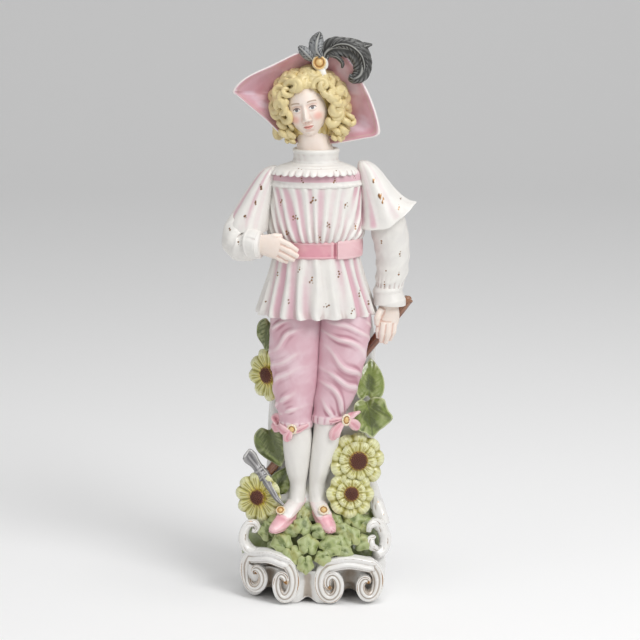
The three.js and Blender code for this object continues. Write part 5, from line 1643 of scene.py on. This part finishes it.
tipLock = [
    (20, -3.2, 313, 1.6, 2.2), (24.4, -3, 313.6, 2.0, 2.2), (27.6, -2.8, 314.2, 1.2, 1.0),
    (29, -2.8, 314.4, 0.4, 0.4),
]


def barbRelief(own, t, a):
    # barbs leave the quill on both sides and lean towards the tip
    side = np.abs(np.abs(a) - np.pi / 2)
    lean = own["slant"] * (np.pi / 2 - side)
    barb = ridges(2 * np.pi * own["barbs"] * t + 3.0 * lean + 1.6 * drift(231, t * 9, a), 0.08)
    uneven = 0.7 + 0.5 * drift(232, t * 12, a * 2)
    ends = ease(t, 0, 0.06) * ease(t, 1, 0.94)
    return 0.42 * (barb - 0.66) * uneven * ease(side, 0.1, 0.8) * ends + 0.45 * bump(side, 0, 0.16)


for node, own in plume.items():
    paths = [own["path"]] + ([hook, layer, tipLock] if node == "plume_curl" else [])
    shells, quills, greys = [], [], []
    for k, path in enumerate(paths):
        rows = 270 if k == 0 and node == "plume_curl" else 90
        t, angle = sheetOf(rows, 64)
        barbs = barbRelief(own if k == 0 else {"barbs": 14, "slant": 2.0}, t, angle)
        grid = sweepSkin(path, t, angle, (0, 1, 0), barbs)
        shells.append(shellOf(grid))
        quills.append(flat(grid, bump(angle + np.pi / 2, 0, 0.14) * ease(t, 0.0, 0.1) * ease(t, 1.0, 0.8)))
        greys.append(flat(grid, own["grey"] + 0.6 * ease(t, 0.3, 0.0)
                          + 0.35 * drift(221 + k, t * 9, angle) + 0.5 * bump(angle + 2.3, 0, 0.3)))
    piece(node.replace("_", ""), shells, plumeFinish, [node],
          {"quill": np.concatenate(quills), "grey": np.concatenate(greys)}, reach=0.35)
print("hat and plume")

studio = {
    "key": ((0.8, -0.95, 1.2), 0.7, 11.5), "fill": ((-1.2, -0.9, 0.5), 1.1, 1.8),
    "top": ((0.15, -0.2, 1.35), 0.7, 5.0), "worldStrength": 0.46, "floor": (0.93, 0.93, 0.93),
    "floorFront": -4.0, "floorHalf": 5.0, "bendStart": 1.6, "bendRadius": 1.2, "wallTop": 5.0,
    "lens": 149.15, "target": (0.0, 0.0, 158.52), "distance": 1500.0, "elevation": 11.0,
}
g = Graph("paleFloor")
wallFinish = g.finish(g.node("BsdfPrincipled", None, {"Base Color": (*studio["floor"], 1), "Roughness": 0.9}))
# the floor bends up into the backdrop along a quarter circle
bendAngle = np.linspace(0, np.pi / 2, 24)
start, bend, half = studio["bendStart"], studio["bendRadius"], studio["floorHalf"]
curve = np.stack([start + bend * np.sin(bendAngle), bend - bend * np.cos(bendAngle)], -1)
profile = np.concatenate([[[studio["floorFront"], 0.0]], curve, [[start + bend, studio["wallTop"]]]])
floorVerts = np.concatenate([np.column_stack([np.full(len(profile), x), profile]) for x in (-half, half)])
k = np.arange(len(profile) - 1)
floorFaces = np.stack([k, k + len(profile), k + len(profile) + 1, k + 1], -1)
floorMesh = bpy.data.meshes.new("sweep")
floorMesh.from_pydata(floorVerts.tolist(), [], floorFaces.tolist())
floorMesh.polygons.foreach_set("use_smooth", np.ones(len(floorMesh.polygons), bool))
floorMesh.materials.append(wallFinish)
floor = bpy.data.objects.new("sweep", floorMesh)
bpy.context.scene.collection.objects.link(floor)

world = bpy.data.worlds.new("softStudio")
world.use_nodes = True
world.node_tree.nodes["Background"].inputs["Color"].default_value = (1.0, 1.0, 1.0, 1)
world.node_tree.nodes["Background"].inputs["Strength"].default_value = studio["worldStrength"]
bpy.context.scene.world = world


def aim(obj, target):
    away = obj.location - target
    obj.rotation_euler = away.to_track_quat("Z", "Y").to_euler()


target = Vector((studio["target"][0] + middle[0], studio["target"][1] + middle[1], studio["target"][2])) * mm
for label in ("key", "fill", "top"):
    place, size, power = studio[label]
    light = bpy.data.lights.new(label, "AREA")
    light.shape = "DISK"
    light.size = size
    light.energy = power
    lamp = bpy.data.objects.new(label, light)
    lamp.location = place
    bpy.context.scene.collection.objects.link(lamp)
    aim(lamp, target)

camera = bpy.data.objects.new("camera", bpy.data.cameras.new("camera"))
bpy.context.scene.collection.objects.link(camera)
camera.data.lens = studio["lens"]
camera.data.sensor_width = 36
camera.data.clip_end = 20
rise = math.radians(studio["elevation"])
camera.location = target + Vector((0, -math.cos(rise), math.sin(rise))) * studio["distance"] * mm
aim(camera, target)
bpy.context.scene.camera = camera
bpy.context.scene.view_settings.view_transform = "Standard"
print("floor, light and camera")
